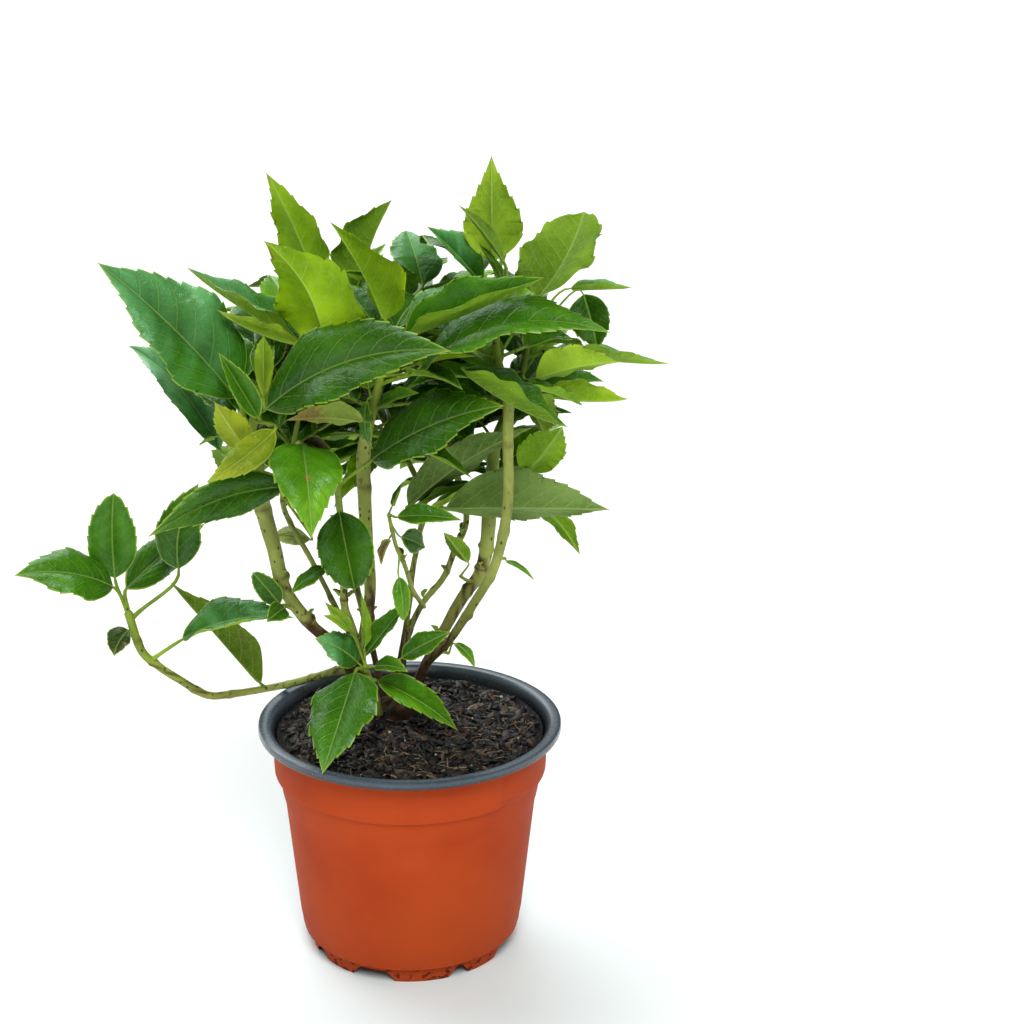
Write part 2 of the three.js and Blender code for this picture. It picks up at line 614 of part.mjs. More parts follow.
// The seeded rule: a pair of opposite leaves at each node of the twig, each pair a quarter turn on from
// the pair below, lower leaves hanging and upper ones climbing. Only headings in the sector are grown.
function filledLeaves(order, { nodes, turn, sector }) {
  const leaves = [];
  for (let i = 0; i < 2 * nodes; i += 1) {
    const random = seeded(order * 100 + i + 1);
    const height = (Math.floor(i / 2) + 0.5) / nodes;
    const heading = turn + 90 * Math.floor(i / 2) + 180 * (i % 2) + between(FILL_JITTER, random());
    const leaf = [
      between(FILL_SPAN, height), heading, between(FILL_CLIMB, height) + between(FILL_JITTER, random()),
      between(FILL_LENGTH, random()), between(FILL_WIDTH, random()), between(FILL_STALK, random()),
      between(FILL_DROOP, random()), between(FILL_TILT, random()), between(FILL_FOLD, random()), 0, 0,
    ];
    const fromSector = (((heading - sector[0]) % 360) + 360) % 360;
    if (fromSector <= sector[1] - sector[0]) leaves.push(leaf);
  }
  return leaves;
}

const terracotta = new THREE.MeshStandardMaterial({ color: 0xbe4824, roughness: 0.5, metalness: 0 });
const pottingSoil = new THREE.MeshStandardMaterial({ color: 0x1e1916, roughness: 0.95, metalness: 0 });
const bark = new THREE.MeshStandardMaterial({ color: 0x6b4c33, roughness: 0.85, metalness: 0 });
const greenStem = new THREE.MeshStandardMaterial({ color: 0x9fae6a, roughness: 0.6, metalness: 0 });
const leafGreen = new THREE.MeshStandardMaterial({ color: 0x2f6b22, roughness: 0.4, metalness: 0 });

const hydrangea = new THREE.Group();

function addPiece(name, geometry, material) {
  const mesh = new THREE.Mesh(geometry, material);
  mesh.name = name;
  hydrangea.add(mesh);
}

addPiece('pot', geometryOf(potSolid()), terracotta);
addPiece('soil', geometryOf(solidOf(soilGeometry())), pottingSoil);
addPiece('root_crown', geometryOf(rootCrown()), bark);

// Stems, each cut to stand clear of the limb that carries it
const roomyLimbs = { root_crown: rootCrown(GAP) };
for (const [name, { from, course, radius, sideways }] of Object.entries(STEMS)) {
  const sides = limbSides(radius);
  const steps = Math.ceil(1.5 * course.length);
  const start = from === 'root_crown' && !sideways ? forkShare(course) - 0.02 : 0;
  const stem = solidOf(limb(course, radius, sides, steps, [start, 1]));
  roomyLimbs[name] = solidOf(limb(course, radius, sides, steps, [start, 1], GAP));
  const cleared = stem.subtract(roomyLimbs.root_crown).subtract(roomyLimbs[from]);
  addPiece(name, geometryOf(wholeBody(cleared)), greenStem);
}

// Twigs of the masses, each cut to stand clear of the limb that carries it
const twigs = {};
const roomyTwigs = {};
for (const [mass, { carrier, course, radius }] of Object.entries(MASSES)) {
  const steps = Math.ceil(1.3 * (course.length - 1));
  twigs[mass] = solidOf(limb(course, radius, 5, steps)).subtract(roomyLimbs[carrier]);
  roomyTwigs[mass] = solidOf(limb(course, radius, 5, steps, [0, 1], GAP));
}

function limbsBeside(mass) {
  const others = Object.keys(MASSES).filter((name) => name !== mass).map((name) => roomyTwigs[name]);
  return [...Object.values(roomyLimbs), ...others];
}

// The leaves that show from the front grow first, then those that the seed adds on the other sides
const grown = [];
for (const [mass, { course, leaves }] of Object.entries(MASSES)) {
  const curve = courseCurve(course);
  leaves.forEach((leaf) => growLeaf(mass, curve, leaf, limbsBeside(mass), grown));
}
Object.entries(MASSES).forEach(([mass, { course, fill }], order) => {
  const curve = courseCurve(course);
  filledLeaves(order, fill).forEach((leaf) => growLeaf(mass, curve, leaf, limbsBeside(mass), grown, true));
});

for (const mass of Object.keys(MASSES)) {
  const own = grown.filter((leaf) => leaf.mass === mass);
  const leaves = own.map(({ start, leaf }) => leafSolid(start, leaf));
  addPiece(mass, geometryOf(wholeBody(fused([twigs[mass], ...leaves]))), leafGreen);
}

export default hydrangea;
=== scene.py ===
import math
import bpy
import bmesh
import numpy as np
from mathutils import Matrix, Vector
from mathutils.bvhtree import BVHTree


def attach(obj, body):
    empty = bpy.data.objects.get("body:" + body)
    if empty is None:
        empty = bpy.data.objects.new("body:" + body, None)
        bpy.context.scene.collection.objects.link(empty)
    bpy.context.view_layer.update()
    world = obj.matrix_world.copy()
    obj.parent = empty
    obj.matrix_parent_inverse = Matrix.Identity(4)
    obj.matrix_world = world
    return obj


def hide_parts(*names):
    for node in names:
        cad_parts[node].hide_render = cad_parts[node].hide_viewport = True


# A young hydrangea shrub in leaf, in a round nursery pot
# Lengths are in mm here and become metres in the meshes
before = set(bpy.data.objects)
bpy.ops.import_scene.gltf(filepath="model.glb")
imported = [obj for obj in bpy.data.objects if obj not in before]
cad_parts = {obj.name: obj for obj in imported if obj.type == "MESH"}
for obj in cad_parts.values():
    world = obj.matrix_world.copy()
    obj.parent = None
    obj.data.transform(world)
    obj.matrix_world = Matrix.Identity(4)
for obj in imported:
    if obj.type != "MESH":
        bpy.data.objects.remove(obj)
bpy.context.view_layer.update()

MM = 0.001
GAP = 0.3

# Pot: the outside as [radius, height] from the foot ring up to the rim
POT_WALL = 1.2
POT_TURNS = 256
FOOT_OUTSIDE = [[43.3, 0.0], [43.7, 0.5], [44.3, 5.6], [44.5, 7.0]]
SEAM = [[45.2, 7.8], [47.0, 8.6], [47.9, 10.2]]
WALL_OUTSIDE = [[48.1, 12], [48.8, 16], [51.4, 41.5], [53.8, 65.4], [54.0, 67.2], [54.2, 68.6], [54.7, 70.2],
    [55.2, 72.6], [56.0, 77], [56.5, 79.6], [56.7, 80.4], [57.3, 80.8], [58.1, 81.2], [58.4, 82.2],
    [58.5, 84.6], [58.6, 90], [58.9, 97], [59.1, 100], [59.7, 101]]
RIM_UNDER = [[60.6, 101.3], [63.6, 101.3], [64.0, 100.9], [64.0, 100.0], [64.2, 99.8]]
RIM_TOP = [[64.8, 99.9], [65.0, 100.3], [65.0, 102.1], [64.8, 102.7], [64.2, 103.0], [62.0, 103.0],
    [60.9, 102.9], [60.0, 102.4], [59.4, 101.4]]
LINING_TOP = [[58.3, 100], [57.7, 97]]
PAD_RADIUS = 14
FOOT_INNER_RADIUS = 41.4
FLOOR_UNDERSIDE = 5.2
FLOOR_TOP = 6.8
PAD_TOP = 1.4
DRAIN_NOTCH = {"turn": -19, "outline": [[11.4, -2], [9.6, 0.6], [7.4, 3.4], [5.6, 5]]}
VENT_NOTCH = {"turn": 30.5, "outline": [[5.9, -2], [4.6, 0.8], [2.6, 3.6], [1.4, 4.8]]}
DRAIN_HOLE = {"turn": 7, "ring": 29, "radius": 4}
QUARTERS = [0, 90, 180, 270]
CREASE = {"turn": 44, "height": 89, "wide": 1.8, "tall": 8, "deep": 0.8}
LEDGE = {"height": 81.5, "raised": 3.2, "turn": 48, "sharp": 3, "soft": 11}

# Potting soil
SOIL_TOP = 96.6
SOIL_EDGE = 57.2

# Root crown: a low woody mound that every main stem leaves
CROWN_SPOT = [-8, 21]
CROWN_RADIUS = 11.5
CROWN_HEIGHT = 6
CROWN_FOOT = 96.9
CROWN_FORK = 123

# Space that the whole plant keeps to, and the rounder space inside it for the leaves that the seed adds
ENVELOPE = {"left": -170, "right": 112, "front": -58, "back": 126, "top": 345, "bottom": 66}
CROWN_MIDDLE = [-8, 48, 246]
CROWN_REACH = [90, 82, 54]

# Stems and masses of foliage, as in the solids. A leaf's row holds its place along the twig, heading, climb,
# length, width as a share of that, stalk, droop, tilt and fold, then how far the stalk swings and lifts away
# from the blade's own way. Each mass also names the tint of each of its leaves.
STEMS = {
    "stem_left": {
        "carrier": "root_crown", "radius": [3.1, 3.9],
        "course": [[-15, 16, 97], [-24, 15, 112], [-31, 14, 128], [-43, 10, 142], [-53, 6, 159],
            [-57, 3, 179], [-61, -1, 200]],
    },
    "stem_centre": {
        "carrier": "root_crown", "radius": [3.1, 3.3],
        "course": [[-16, 17, 97], [-21, 16, 110], [-22, 16, 126], [-18, 18, 153], [-19, 18, 177],
            [-20, 18, 211]],
    },
    "stem_right": {
        "carrier": "root_crown", "radius": [2.5, 2.4],
        "course": [[-1, 19, 97], [2, 21, 111], [7, 20, 121], [16, 16, 132], [26, 8, 151], [36, 0, 173],
            [41, -6, 201], [41, -6, 228], [41, -6, 245]],
    },
    "stem_right_inner": {
        "carrier": "root_crown", "radius": [3, 3.7],
        "course": [[0, 25, 97], [3, 28, 110], [8, 29, 121], [14, 30, 133], [22, 30, 148], [29, 30, 158],
            [32, 30, 170], [33, 30, 184]],
    },
    "stem_back": {
        "carrier": "root_crown", "radius": [1.9, 1.6],
        "course": [[-8, 22, 97], [-5, 23, 114], [-2, 25, 131], [4, 30, 144], [13, 37, 154], [18, 40, 166],
            [23, 42, 180]],
    },
    "stem_back_thin": {
        "carrier": "root_crown", "radius": [1.7, 1.5],
        "course": [[-10, 27, 97], [-6, 31, 118], [-2, 36, 142], [-1, 42, 154], [2, 47, 170], [4, 50, 186]],
    },
    "stem_left_inner": {
        "carrier": "root_crown", "radius": [1.5, 1.3],
        "course": [[-16, 24, 97], [-21, 23, 114], [-28, 22, 134], [-42, 22, 164], [-54, 21, 189]],
    },
    "stem_rear": {
        "carrier": "root_crown", "radius": [2, 1.8],
        "course": [[-13, 29, 97], [-18, 36, 118], [-26, 46, 145], [-33, 56, 172], [-36, 64, 196]],
    },
    "arching_shoot": {
        "carrier": "root_crown", "radius": [1.9, 1.6], "sideways": True,
        "course": [[-27, 15, 119], [-33, 17, 117.5], [-42, 21, 113], [-52, 26, 108], [-62, 30, 104]],
    },
    "front_stub": {
        "carrier": "stem_centre", "radius": [1.9, 1.7],
        "course": [[-22, 16, 124], [-23, 10, 133], [-26, 8, 144], [-28, 6, 152], [-28, 5, 165]],
    },
    "slender_shoot": {
        "carrier": "stem_back", "radius": [1, 1],
        "course": [[4, 30, 144], [5, 20, 147], [1, 10, 158], [-2, 2, 172]],
    },
}

MASSES = {
    "crown_left": {
        "carrier": "stem_left", "radius": [3.7, 1.3],
        "course": [[-61, -1, 200], [-63, -4, 221], [-64, -6, 231], [-59, -8, 246], [-57, -8, 257]],
        "leaves": [
            [0.50, 187, 54, 76, 0.58, 17, 14, -43, 18, 13, 16],
            [0.35, 138, 52, 70, 0.41, 23, 43, -27, 46, -3, -68],
            [0.80, 341, 43, 86, 0.41, 11, 44, 56, 7, -53, -61],
            [0.75, 279, 65, 36, 0.37, 4, 16, -2, 52, 18, -40],
            [0.70, 191, 62, 31, 0.41, 12, 1, -77, 39, 84, -70],
            [0.60, 226, -31, 38, 0.35, 16, -17, -50, 2, 82, 29],
            [0.35, 245, 44, 35, 0.42, 9, -8, 41, 25, 25, -42],
            [0.40, 163, -19, 9, 0.30, 17, 23, -15, 20, -5, 20],
        ],
        "tints": "blue grey deep young mid yellow yellow fresh",
        "fill": {"nodes": 4, "turn": 110, "sector": [85, 215]},
    },
    "crown_inner": {
        "carrier": "stem_left_inner", "radius": [1.3, 0.9],
        "course": [[-54, 21, 189], [-53, 14, 204], [-49, 6, 219], [-46, 3, 232], [-43, 8, 246],
            [-43, 14, 259]],
        "leaves": [
            [0.20, 222, 10, 67, 0.28, 24, 33, -90, 2, 55, 3],
            [0.45, 283, -23, 42, 0.74, 20, 57, -11, 5, 5, 41],
            [1.00, 175, 24, 56, 0.57, 7, -15, -2, 24, 53, 54],
            [0.95, 195, 13, 36, 0.40, 18, -25, 3, 37, 68, 29],
            [0.88, 189, 88, 52, 0.98, 28, 51, 40, 4, 108, -54],
            [0.10, 128, -2, 29, 0.32, 28, 20, -78, 24, -73, -54],
        ],
        "tints": "deep fresh blue young lime yellow",
        "fill": {"nodes": 4, "turn": 75, "sector": [40, 170]},
    },
    "crown_front": {
        "carrier": "stem_centre", "radius": [3.2, 1.3],
        "course": [[-20, 18, 211], [-18, 14, 227], [-14, 6, 242], [-10, 2, 258], [-8, 4, 270]],
        "leaves": [
            [1.00, 190, 70, 46, 0.84, 7, 16, 28, 18, 9, 8],
            [0.75, 341, 23, 65, 0.42, 20, -6, 38, 46, -29, 23],
            [0.62, 343, 44, 84, 0.49, 25, 59, 23, 2, -21, -19],
            [0.42, 190, 14, 31, 0.49, 21, 23, 51, 16, 74, -10],
            [0.55, 238, -68, 23, 0.37, 5, 62, 10, 3, -21, 44],
            [0.40, 315, 34, 27, 0.35, 6, 20, 46, 30, 0, 0],
        ],
        "tints": "lime mid mid pale mid fresh",
        "fill": {"nodes": 4, "turn": 60, "sector": [20, 150]},
    },
    "crown_right": {
        "carrier": "stem_right", "radius": [2.4, 1.2],
        "course": [[41, -6, 245], [39, -2, 253], [36, 4, 264], [36, 10, 280], [36, 12, 294]],
        "leaves": [
            [0.20, 346, -38, 48, 0.63, 20, -25, -1, 32, -140, 63],
            [1.00, 266, 79, 44, 0.59, 6, -4, 4, 16, -88, -9],
            [0.62, 233, 50, 40, 0.24, 29, 16, 38, 52, 112, 34],
            [0.80, 167, 60, 19, 0.36, 14, 0, -10, 34, 118, -10],
            [0.85, 143, 42, 35, 0.53, 8, 14, -33, 47, 31, -6],
            [0.75, 319, 45, 43, 0.85, 23, -25, -16, 13, 2, -22],
            [1.00, 59, 58, 22, 0.36, 4, 0, -60, 25, 0, 0],
        ],
        "tints": "mid young deep deep blue mid fresh",
        "fill": {"nodes": 4, "turn": 30, "sector": [-10, 130]},
    },
    "crown_far_right": {
        "carrier": "stem_right_inner", "radius": [3.6, 1.2],
        "course": [[33, 30, 184], [34, 32, 200], [36, 34, 218], [43, 36, 235], [47, 36, 250], [50, 34, 266]],
        "leaves": [
            [0.85, 0, -9, 53, 0.39, 13, -11, -1, 23, 7, 24],
            [0.75, 6, 21, 35, 0.62, 26, 22, -55, 21, -82, -10],
            [0.70, 353, -11, 36, 0.50, 14, -20, -27, 41, -28, 0],
            [1.00, 3, 0, 26, 0.43, 25, -1, 6, 31, 21, 42],
            [0.95, 342, -70, 23, 0.84, 30, 7, 75, 20, 31, 108],
            [0.10, 327, 47, 30, 0.70, 24, -10, -47, 12, -4, -7],
            [0.20, 9, -43, 33, 0.46, 34, 22, -39, 2, 38, 16],
        ],
        "tints": "blue young lime blue deep fresh fresh",
        "fill": {"nodes": 5, "turn": 50, "sector": [10, 140]},
    },
    "crown_back": {
        "carrier": "stem_back", "radius": [1.6, 0.9],
        "course": [[23, 42, 180], [18, 50, 199], [11, 58, 220], [4, 62, 241], [0, 60, 260], [-2, 58, 273]],
        "leaves": [
            [0.03, 342, 7, 72, 0.50, 29, 3, -80, 46, -87, 13],
            [1.00, 108, 48, 33, 0.71, 10, 26, 7, 4, -60, -7],
        ],
        "tints": "matte blue",
        "fill": {"nodes": 6, "turn": 85, "sector": [-10, 190]},
    },
    "crown_back_left": {
        "carrier": "stem_back_thin", "radius": [1.5, 0.9],
        "course": [[4, 50, 186], [-6, 58, 206], [-19, 62, 227], [-28, 58, 251], [-31, 52, 270]],
        "leaves": [
            [1.00, 359, 80, 38, 0.90, 15, 24, -19, 37, 16, -23],
            [0.95, 200, 73, 50, 0.53, 22, 13, 34, 2, 2, -17],
            [0.02, 338, 47, 70, 0.32, 21, 22, -39, 16, -81, -42],
            [0.08, 4, 34, 31, 0.36, 11, 20, 14, 20, -54, -38],
        ],
        "tints": "deep lime matte deep",
        "fill": {"nodes": 6, "turn": 60, "sector": [20, 200]},
    },
    "crown_rear": {
        "carrier": "stem_rear", "radius": [1.8, 0.9],
        "course": [[-36, 64, 196], [-38, 68, 214], [-42, 66, 233], [-48, 58, 252], [-52, 50, 268]],
        "leaves": [],
        "tints": "",
        "fill": {"nodes": 6, "turn": 100, "sector": [30, 260]},
    },
    "low_shoot": {
        "carrier": "arching_shoot", "radius": [1.6, 1.1],
        "course": [[-62, 30, 104], [-80, 24, 103], [-90, 16, 106], [-101, 8, 117], [-109, 4, 125],
            [-115, 2, 133], [-119, 0, 150]],
        "leaves": [
            [0.03, 169, 48, 60, 0.49, 4, 0, 57, 23, 33, -2],
            [0.72, 1, 32, 50, 0.49, 18, 41, 23, 13, -9, 4],
            [1.00, 207, 36, 43, 0.66, 15, 41, -30, 2, 17, 27],
            [1.00, 125, 83, 39, 0.53, 16, -25, -27, 2, 18, -20],
            [1.00, 68, 15, 66, 0.26, 11, 14, 44, 2, -15, 77],
            [0.97, 22, 97, 39, 0.52, 30, 45, 61, 2, -6, -52],
            [0.93, 218, -30, 13, 0.95, 2, 48, -29, 24, -11, 25],
        ],
        "tints": "olive blue mid mid deep deep dark",
    },
    "front_shoot": {
        "carrier": "front_stub", "radius": [1.7, 1.1],
        "course": [[-28, 5, 165], [-28, 3, 184], [-29, 2, 200], [-29, 0, 208]],
        "leaves": [
            [0.80, 327, -79, 34, 0.89, 8, -4, 49, 38, 24, -11],
            [1.00, 341, 40, 64, 0.56, 20, 27, 39, 2, -3, -2],
            [0.15, 198, -22, 18, 0.51, 8, 20, -22, 6, 0, -2],
        ],
        "tints": "deep deep mid",
    },
    "inner_shoot": {
        "carrier": "slender_shoot", "radius": [1, 0.8],
        "course": [[-2, 2, 172], [-5, -4, 182], [-7, -6, 192], [-8, -6, 197]],
        "leaves": [
            [1.00, 348, 11, 28, 0.38, 4, 19, 36, 18, -10, -22],
            [1.00, 60, 46, 12, 0.40, 4, 0, -31, 25, 0, 0],
            [0.20, 296, -52, 19, 0.42, 10, 52, 35, 18, -26, 0],
            [0.70, 53, -24, 18, 0.61, 10, 11, 82, 13, -1, -24],
        ],
        "tints": "mid mid fresh mid",
    },
    "basal_rosette": {
        "carrier": "root_crown", "radius": [1.9, 1.2],
        "course": [[-14, 12, 99], [-16, 8, 112], [-18, 3, 121], [-19, 0, 127]],
        "leaves": [
            [1.00, 6, 54, 31, 0.42, 5, 5, 27, 22, 87, -17],
            [0.80, 200, 50, 23, 0.72, 6, 28, -49, 2, 0, -1],
            [0.80, 257, -31, 52, 0.62, 16, -2, 15, 2, -2, 51],
            [0.60, 227, 47, 19, 0.28, 25, 24, -57, 2, -21, 24],
            [0.60, 341, -12, 41, 0.41, 4, 27, 42, 39, 1, 3],
            [0.90, 327, 23, 18, 0.50, 5, 35, 38, 20, 0, 0],
            [0.90, 6, 34, 24, 0.52, 16, 12, 32, 11, -2, -17],
            [1.00, 168, 55, 17, 0.39, 16, 6, -44, 20, -4, 15],
            [1.00, 111, 82, 24, 0.34, 8, 0, 43, 30, 0, 0],
        ],
        "tints": "mid blue mid young fresh mid mid young young",
    },
    "left_sprig": {
        "carrier": "stem_left", "radius": [0.9, 0.7],
        "course": [[-47, 8, 149], [-50, 4, 151], [-53, 1, 154]],
        "leaves": [
            [1.00, 184, 54, 18, 0.56, 2, 3, -87, 2, 10, -35],
            [0.80, 243, 2, 14, 0.70, 2, 20, -40, 15, 0, 0],
        ],
        "tints": "deep deep",
    },
    "right_sprig": {
        "carrier": "stem_right_inner", "radius": [0.9, 0.7],
        "course": [[27, 30, 155], [24, 25, 157], [21, 22, 160]],
        "leaves": [
            [1.00, 218, 51, 21, 0.43, 7, 0, 47, 21, -17, 69],
        ],
        "tints": "mid",
    },
    "foot_sprig": {
        "carrier": "stem_right", "radius": [0.8, 0.7],
        "course": [[12, 18, 126.5], [14, 16.5, 127], [16, 15, 127]],
        "leaves": [
            [1.00, 339, -20, 14, 0.44, 6, 51, 16, 7, -9, 79],
        ],
        "tints": "fresh",
    },
    "right_twiglet": {
        "carrier": "stem_right", "radius": [0.8, 0.7],
        "course": [[37, -1, 176], [38.6, -0.6, 176.2], [40.4, -0.2, 176.2]],
        "leaves": [
            [1.00, 350, -21, 15, 0.28, 1, 24, 15, 13, -5, -48],
        ],
        "tints": "fresh",
    },
}

# Leaf blade: half width as a share of the greatest, at shares of the length, and the thickest midrib
BLADE_SHAPE = [[0, 0.1], [0.13, 0.68], [0.36, 1], [0.6, 0.84], [0.83, 0.4], [1, 0.02]]
BLADE_THICKNESS = 1.3
STALK_RADIUS = 0.9

# The rule for leaves that the seed places, from the foot of the twig to its tip where there are two values
FILL_SPAN = [0.12, 1]
FILL_CLIMB = [-8, 52]
FILL_LENGTH = [44, 64]
FILL_WIDTH = [0.48, 0.6]
FILL_STALK = [8, 16]
FILL_DROOP = [20, 45]
FILL_TILT = [-14, 14]
FILL_FOLD = [12, 24]
FILL_JITTER = [-14, 14]
SHRINKING = [1, 0.8, 0.64]
PLANNED_TRIES = 9
SEEDED_TRIES = 20
SPIRAL_TURN = 137.5
SPIRAL_ASIDE = 2.6
SPIRAL_LIFT = 1.8
FILL_TINTS = ["mid", "deep", "fresh", "blue", "mid", "lime"]
HEADING_STEP = 0.004
STOUT_RADIUS = 2.2

# Finer leaves that later rounds of the same rule place in the gaps that are left
LATER_ROUNDS = 3
LATER_TURN = 45
LATER_SECTOR = 50
LATER_SIZE = 0.86
LATER_MIDDLE = [-8, 48, 236]
LATER_REACH = [92, 82, 64]

# Finer forms of a blade: half width as a share of the greatest, at shares of the length
PLAIN_OUTLINE = [[0, 0.06], [0.05, 0.34], [0.13, 0.68], [0.24, 0.92], [0.36, 1], [0.48, 0.97], [0.6, 0.85],
    [0.72, 0.62], [0.83, 0.36], [0.92, 0.15], [1, 0.0]]
POINTED_OUTLINE = [[0, 0.06], [0.05, 0.42], [0.13, 0.8], [0.24, 1.0], [0.36, 0.98], [0.48, 0.84], [0.6, 0.62],
    [0.72, 0.42], [0.83, 0.24], [0.92, 0.1], [1, 0.0]]
BLUNT_OUTLINE = [[0, 0.06], [0.05, 0.4], [0.13, 0.74], [0.24, 0.94], [0.36, 1], [0.48, 1.0], [0.6, 0.97],
    [0.72, 0.88], [0.83, 0.72], [0.92, 0.48], [1, 0.0]]

# Teeth: their pitch and depth, the stretch of the margin that has them, and the steps of one tooth
TOOTH_PITCH = 6.4
TOOTH_DEPTH = 1.15
TOOTH_LEAN = 0.22
LEAST_TEETH = 7
TOOTHED_SPAN = [0.12, 0.965]
TOOTHED_EDGE = [0.84, 1.0]
TOOTH_STEPS = [[0.0, 0.0], [0.3, 0.3], [0.58, 0.6], [0.78, 0.86], [0.88, 1.0], [0.95, 0.5]]
TIP_ROWS = [0.965, 0.98, 0.991, 1.0]

# Columns of points from the midrib to the margin, of a large and of a small blade
BLADE_ACROSS = [0, 0.03, 0.1, 0.22, 0.36, 0.5, 0.64, 0.78, 0.89, 0.95, 1]
SMALL_ACROSS = [0, 0.08, 0.3, 0.58, 0.84, 1]
SMALL_LENGTH = 30

# Side veins, the quilting between them, and the skin with its ribs below, in mm
SIDE_VEINS = 7
QUILT_HEIGHT = 0.8
VEIN_SWEEP = [0.3, 0.12]
VEIN_PACE = 1.12
VEIN_START = 0.35
BLADE_SKIN = 0.28
MIDRIB_DEPTH = 0.9
MIDRIB_REACH = 0.8
VEIN_RIB = 0.22
VEIN_UNIT = 40

# Lift of a blade as shares of its half width: arch of each half, waves, and rolled margins
HALF_ARCH = 0.17
MARGIN_WAVE = 0.09
BLADE_WAVE = 0.035
LIP_LIFT = 0.4
LIP_TUCK = 0.28

FULL_TURN = 6.28


def from_srgb(red, green, blue):
    values = [red / 255, green / 255, blue / 255]
    return [v / 12.92 if v <= 0.04045 else ((v + 0.055) / 1.055) ** 2.4 for v in values]


# Upper side towards the stalk and towards the tip, and underside, of a leaf in each tint. The tip colour of
# the blue tint and both upper colours of the grey tint hold a painted sheen: the pale bluish green of the sky
# reflected on a glossy blade.
TINTS = {
    "blue": [(44, 102, 18), (92, 158, 98), (140, 178, 40)],
    "grey": [(84, 142, 84), (132, 188, 146), (130, 166, 84)],
    "deep": [(40, 88, 4), (56, 106, 8), (112, 150, 30)],
    "mid": [(50, 104, 4), (70, 128, 12), (118, 158, 30)],
    "fresh": [(64, 124, 4), (98, 154, 22), (124, 170, 20)],
    "lime": [(104, 156, 4), (134, 174, 12), (148, 188, 8)],
    "young": [(112, 160, 14), (148, 182, 34), (150, 186, 40)],
    "pale": [(112, 144, 50), (138, 160, 70), (166, 184, 84)],
    "matte": [(48, 96, 10), (70, 120, 20), (112, 142, 74)],
    "olive": [(56, 92, 6), (78, 112, 12), (102, 132, 18)],
    "yellow": [(130, 150, 10), (164, 174, 34), (160, 176, 34)],
    "dark": [(30, 50, 8), (44, 66, 18), (70, 92, 22)],
    "brown": [(58, 40, 24), (84, 60, 36), (80, 60, 38)],
}

# Worn spots: mass and leaf, then place along and across the blade, radius in mm and strength
WORN = {
    ("crown_inner", 4): [[0.9, -0.8, 3.4, 0.9], [0.99, 0.0, 2.0, 0.5]],
    ("crown_front", 3): [[0.78, 0.1, 9.5, 0.8], [0.5, -0.5, 4.5, 0.5], [0.97, 0.0, 3.2, 0.9]],
    ("crown_inner", 1): [[0.42, 0.02, 1.5, 0.9]],
    ("crown_far_right", 2): [[0.98, 0.0, 3.4, 0.9]],
    ("crown_left", 2): [[1.0, 0.0, 2.4, 0.8]],
    ("low_shoot", 0): [[0.35, 0.5, 1.6, 0.7], [0.5, -0.6, 1.3, 0.6], [0.64, 0.3, 1.5, 0.6],
        [0.2, -0.3, 1.2, 0.5]],
    ("crown_back_left", 1): [[0.95, -0.7, 1.4, 0.5]],
    ("low_shoot", 6): [[0.97, 0.0, 3.6, 0.5], [0.5, 0.7, 2.0, 0.5]],
}
WORN_COLOUR = from_srgb(150, 98, 66)

# How pointed (below 0) or blunt (above 0) single leaves are, from -1 to 1
TIP_FORMS = {
    ("crown_right", 1): -1.0, ("crown_right", 5): 1.0, ("crown_inner", 1): -0.9, ("low_shoot", 3): 0.6,
    ("front_shoot", 0): 0.7, ("left_sprig", 0): 0.7, ("inner_shoot", 2): 0.5, ("low_shoot", 1): -0.2,
    ("crown_inner", 4): -0.5, ("crown_front", 0): -0.8, ("crown_back_left", 1): -0.3, ("crown_back", 1): 0.4,
    ("basal_rosette", 2): -0.4, ("crown_inner", 2): -0.3, ("crown_left", 3): -0.2, ("low_shoot", 2): -0.2,
    ("crown_far_right", 4): 0.5, ("crown_back_left", 0): -0.3, ("crown_inner", 5): 0.6,
    ("front_shoot", 2): 0.4,
}

# Dried, curled leaves that still hang on a twig, as rows of the same kind
DRIED = [
    ["crown_inner", [0.5, -24, -6, 19, 0.5, 4, 50, 30, 50, 0, 0]],
    ["crown_inner", [0.42, -40, -20, 12, 0.6, 4, 60, -20, 56, 0, 0]],
    ["inner_shoot", [0.55, 195, -60, 12, 0.5, 3, 26, 10, 58, 0, 0]],
]

# Margins that are rolled up: the side of the midrib and how far
ROLLED = {
    ("crown_front", 1): (-1, 0.62), ("crown_front", 2): (-1, 0.5), ("crown_right", 0): (-1, 0.5),
    ("crown_left", 2): (-1, 0.3), ("crown_far_right", 0): (-1, 0.6), ("crown_far_right", 2): (-1, 0.5),
    ("crown_inner", 2): (1, 0.35), ("crown_inner", 0): (1, 0.4), ("low_shoot", 1): (-1, 0.8),
    ("crown_inner", 3): (1, 0.5), ("crown_far_right", 3): (-1, 0.5), ("crown_right", 4): (1, 0.6),
}


# A repeatable run of values from 0 to 1
def seeded(seed):
    state = seed * 7919 + 17

    def draw():
        nonlocal state
        state = (state * 48271) % 2147483647
        return state / 2147483647

    return draw


def between(span, share):
    return span[0] + (span[1] - span[0]) * share


def smoothstep(low, high, value):
    share = np.clip((value - low) / (high - low), 0, 1)
    return share * share * (3 - 2 * share)


# A smooth line through a table of [place, value] rows
def smooth_table(table, places):
    xs = np.array([row[0] for row in table], float)
    ys = np.array([row[1] for row in table], float)
    slopes = np.gradient(ys, xs)
    i = np.clip(np.searchsorted(xs, places, side="right") - 1, 0, len(xs) - 2)
    width = xs[i + 1] - xs[i]
    t = (places - xs[i]) / width
    first = (1 + 2 * t) * (1 - t) ** 2 * ys[i] + t * (1 - t) ** 2 * width * slopes[i]
    return first + t * t * (3 - 2 * t) * ys[i + 1] + t * t * (t - 1) * width * slopes[i + 1]


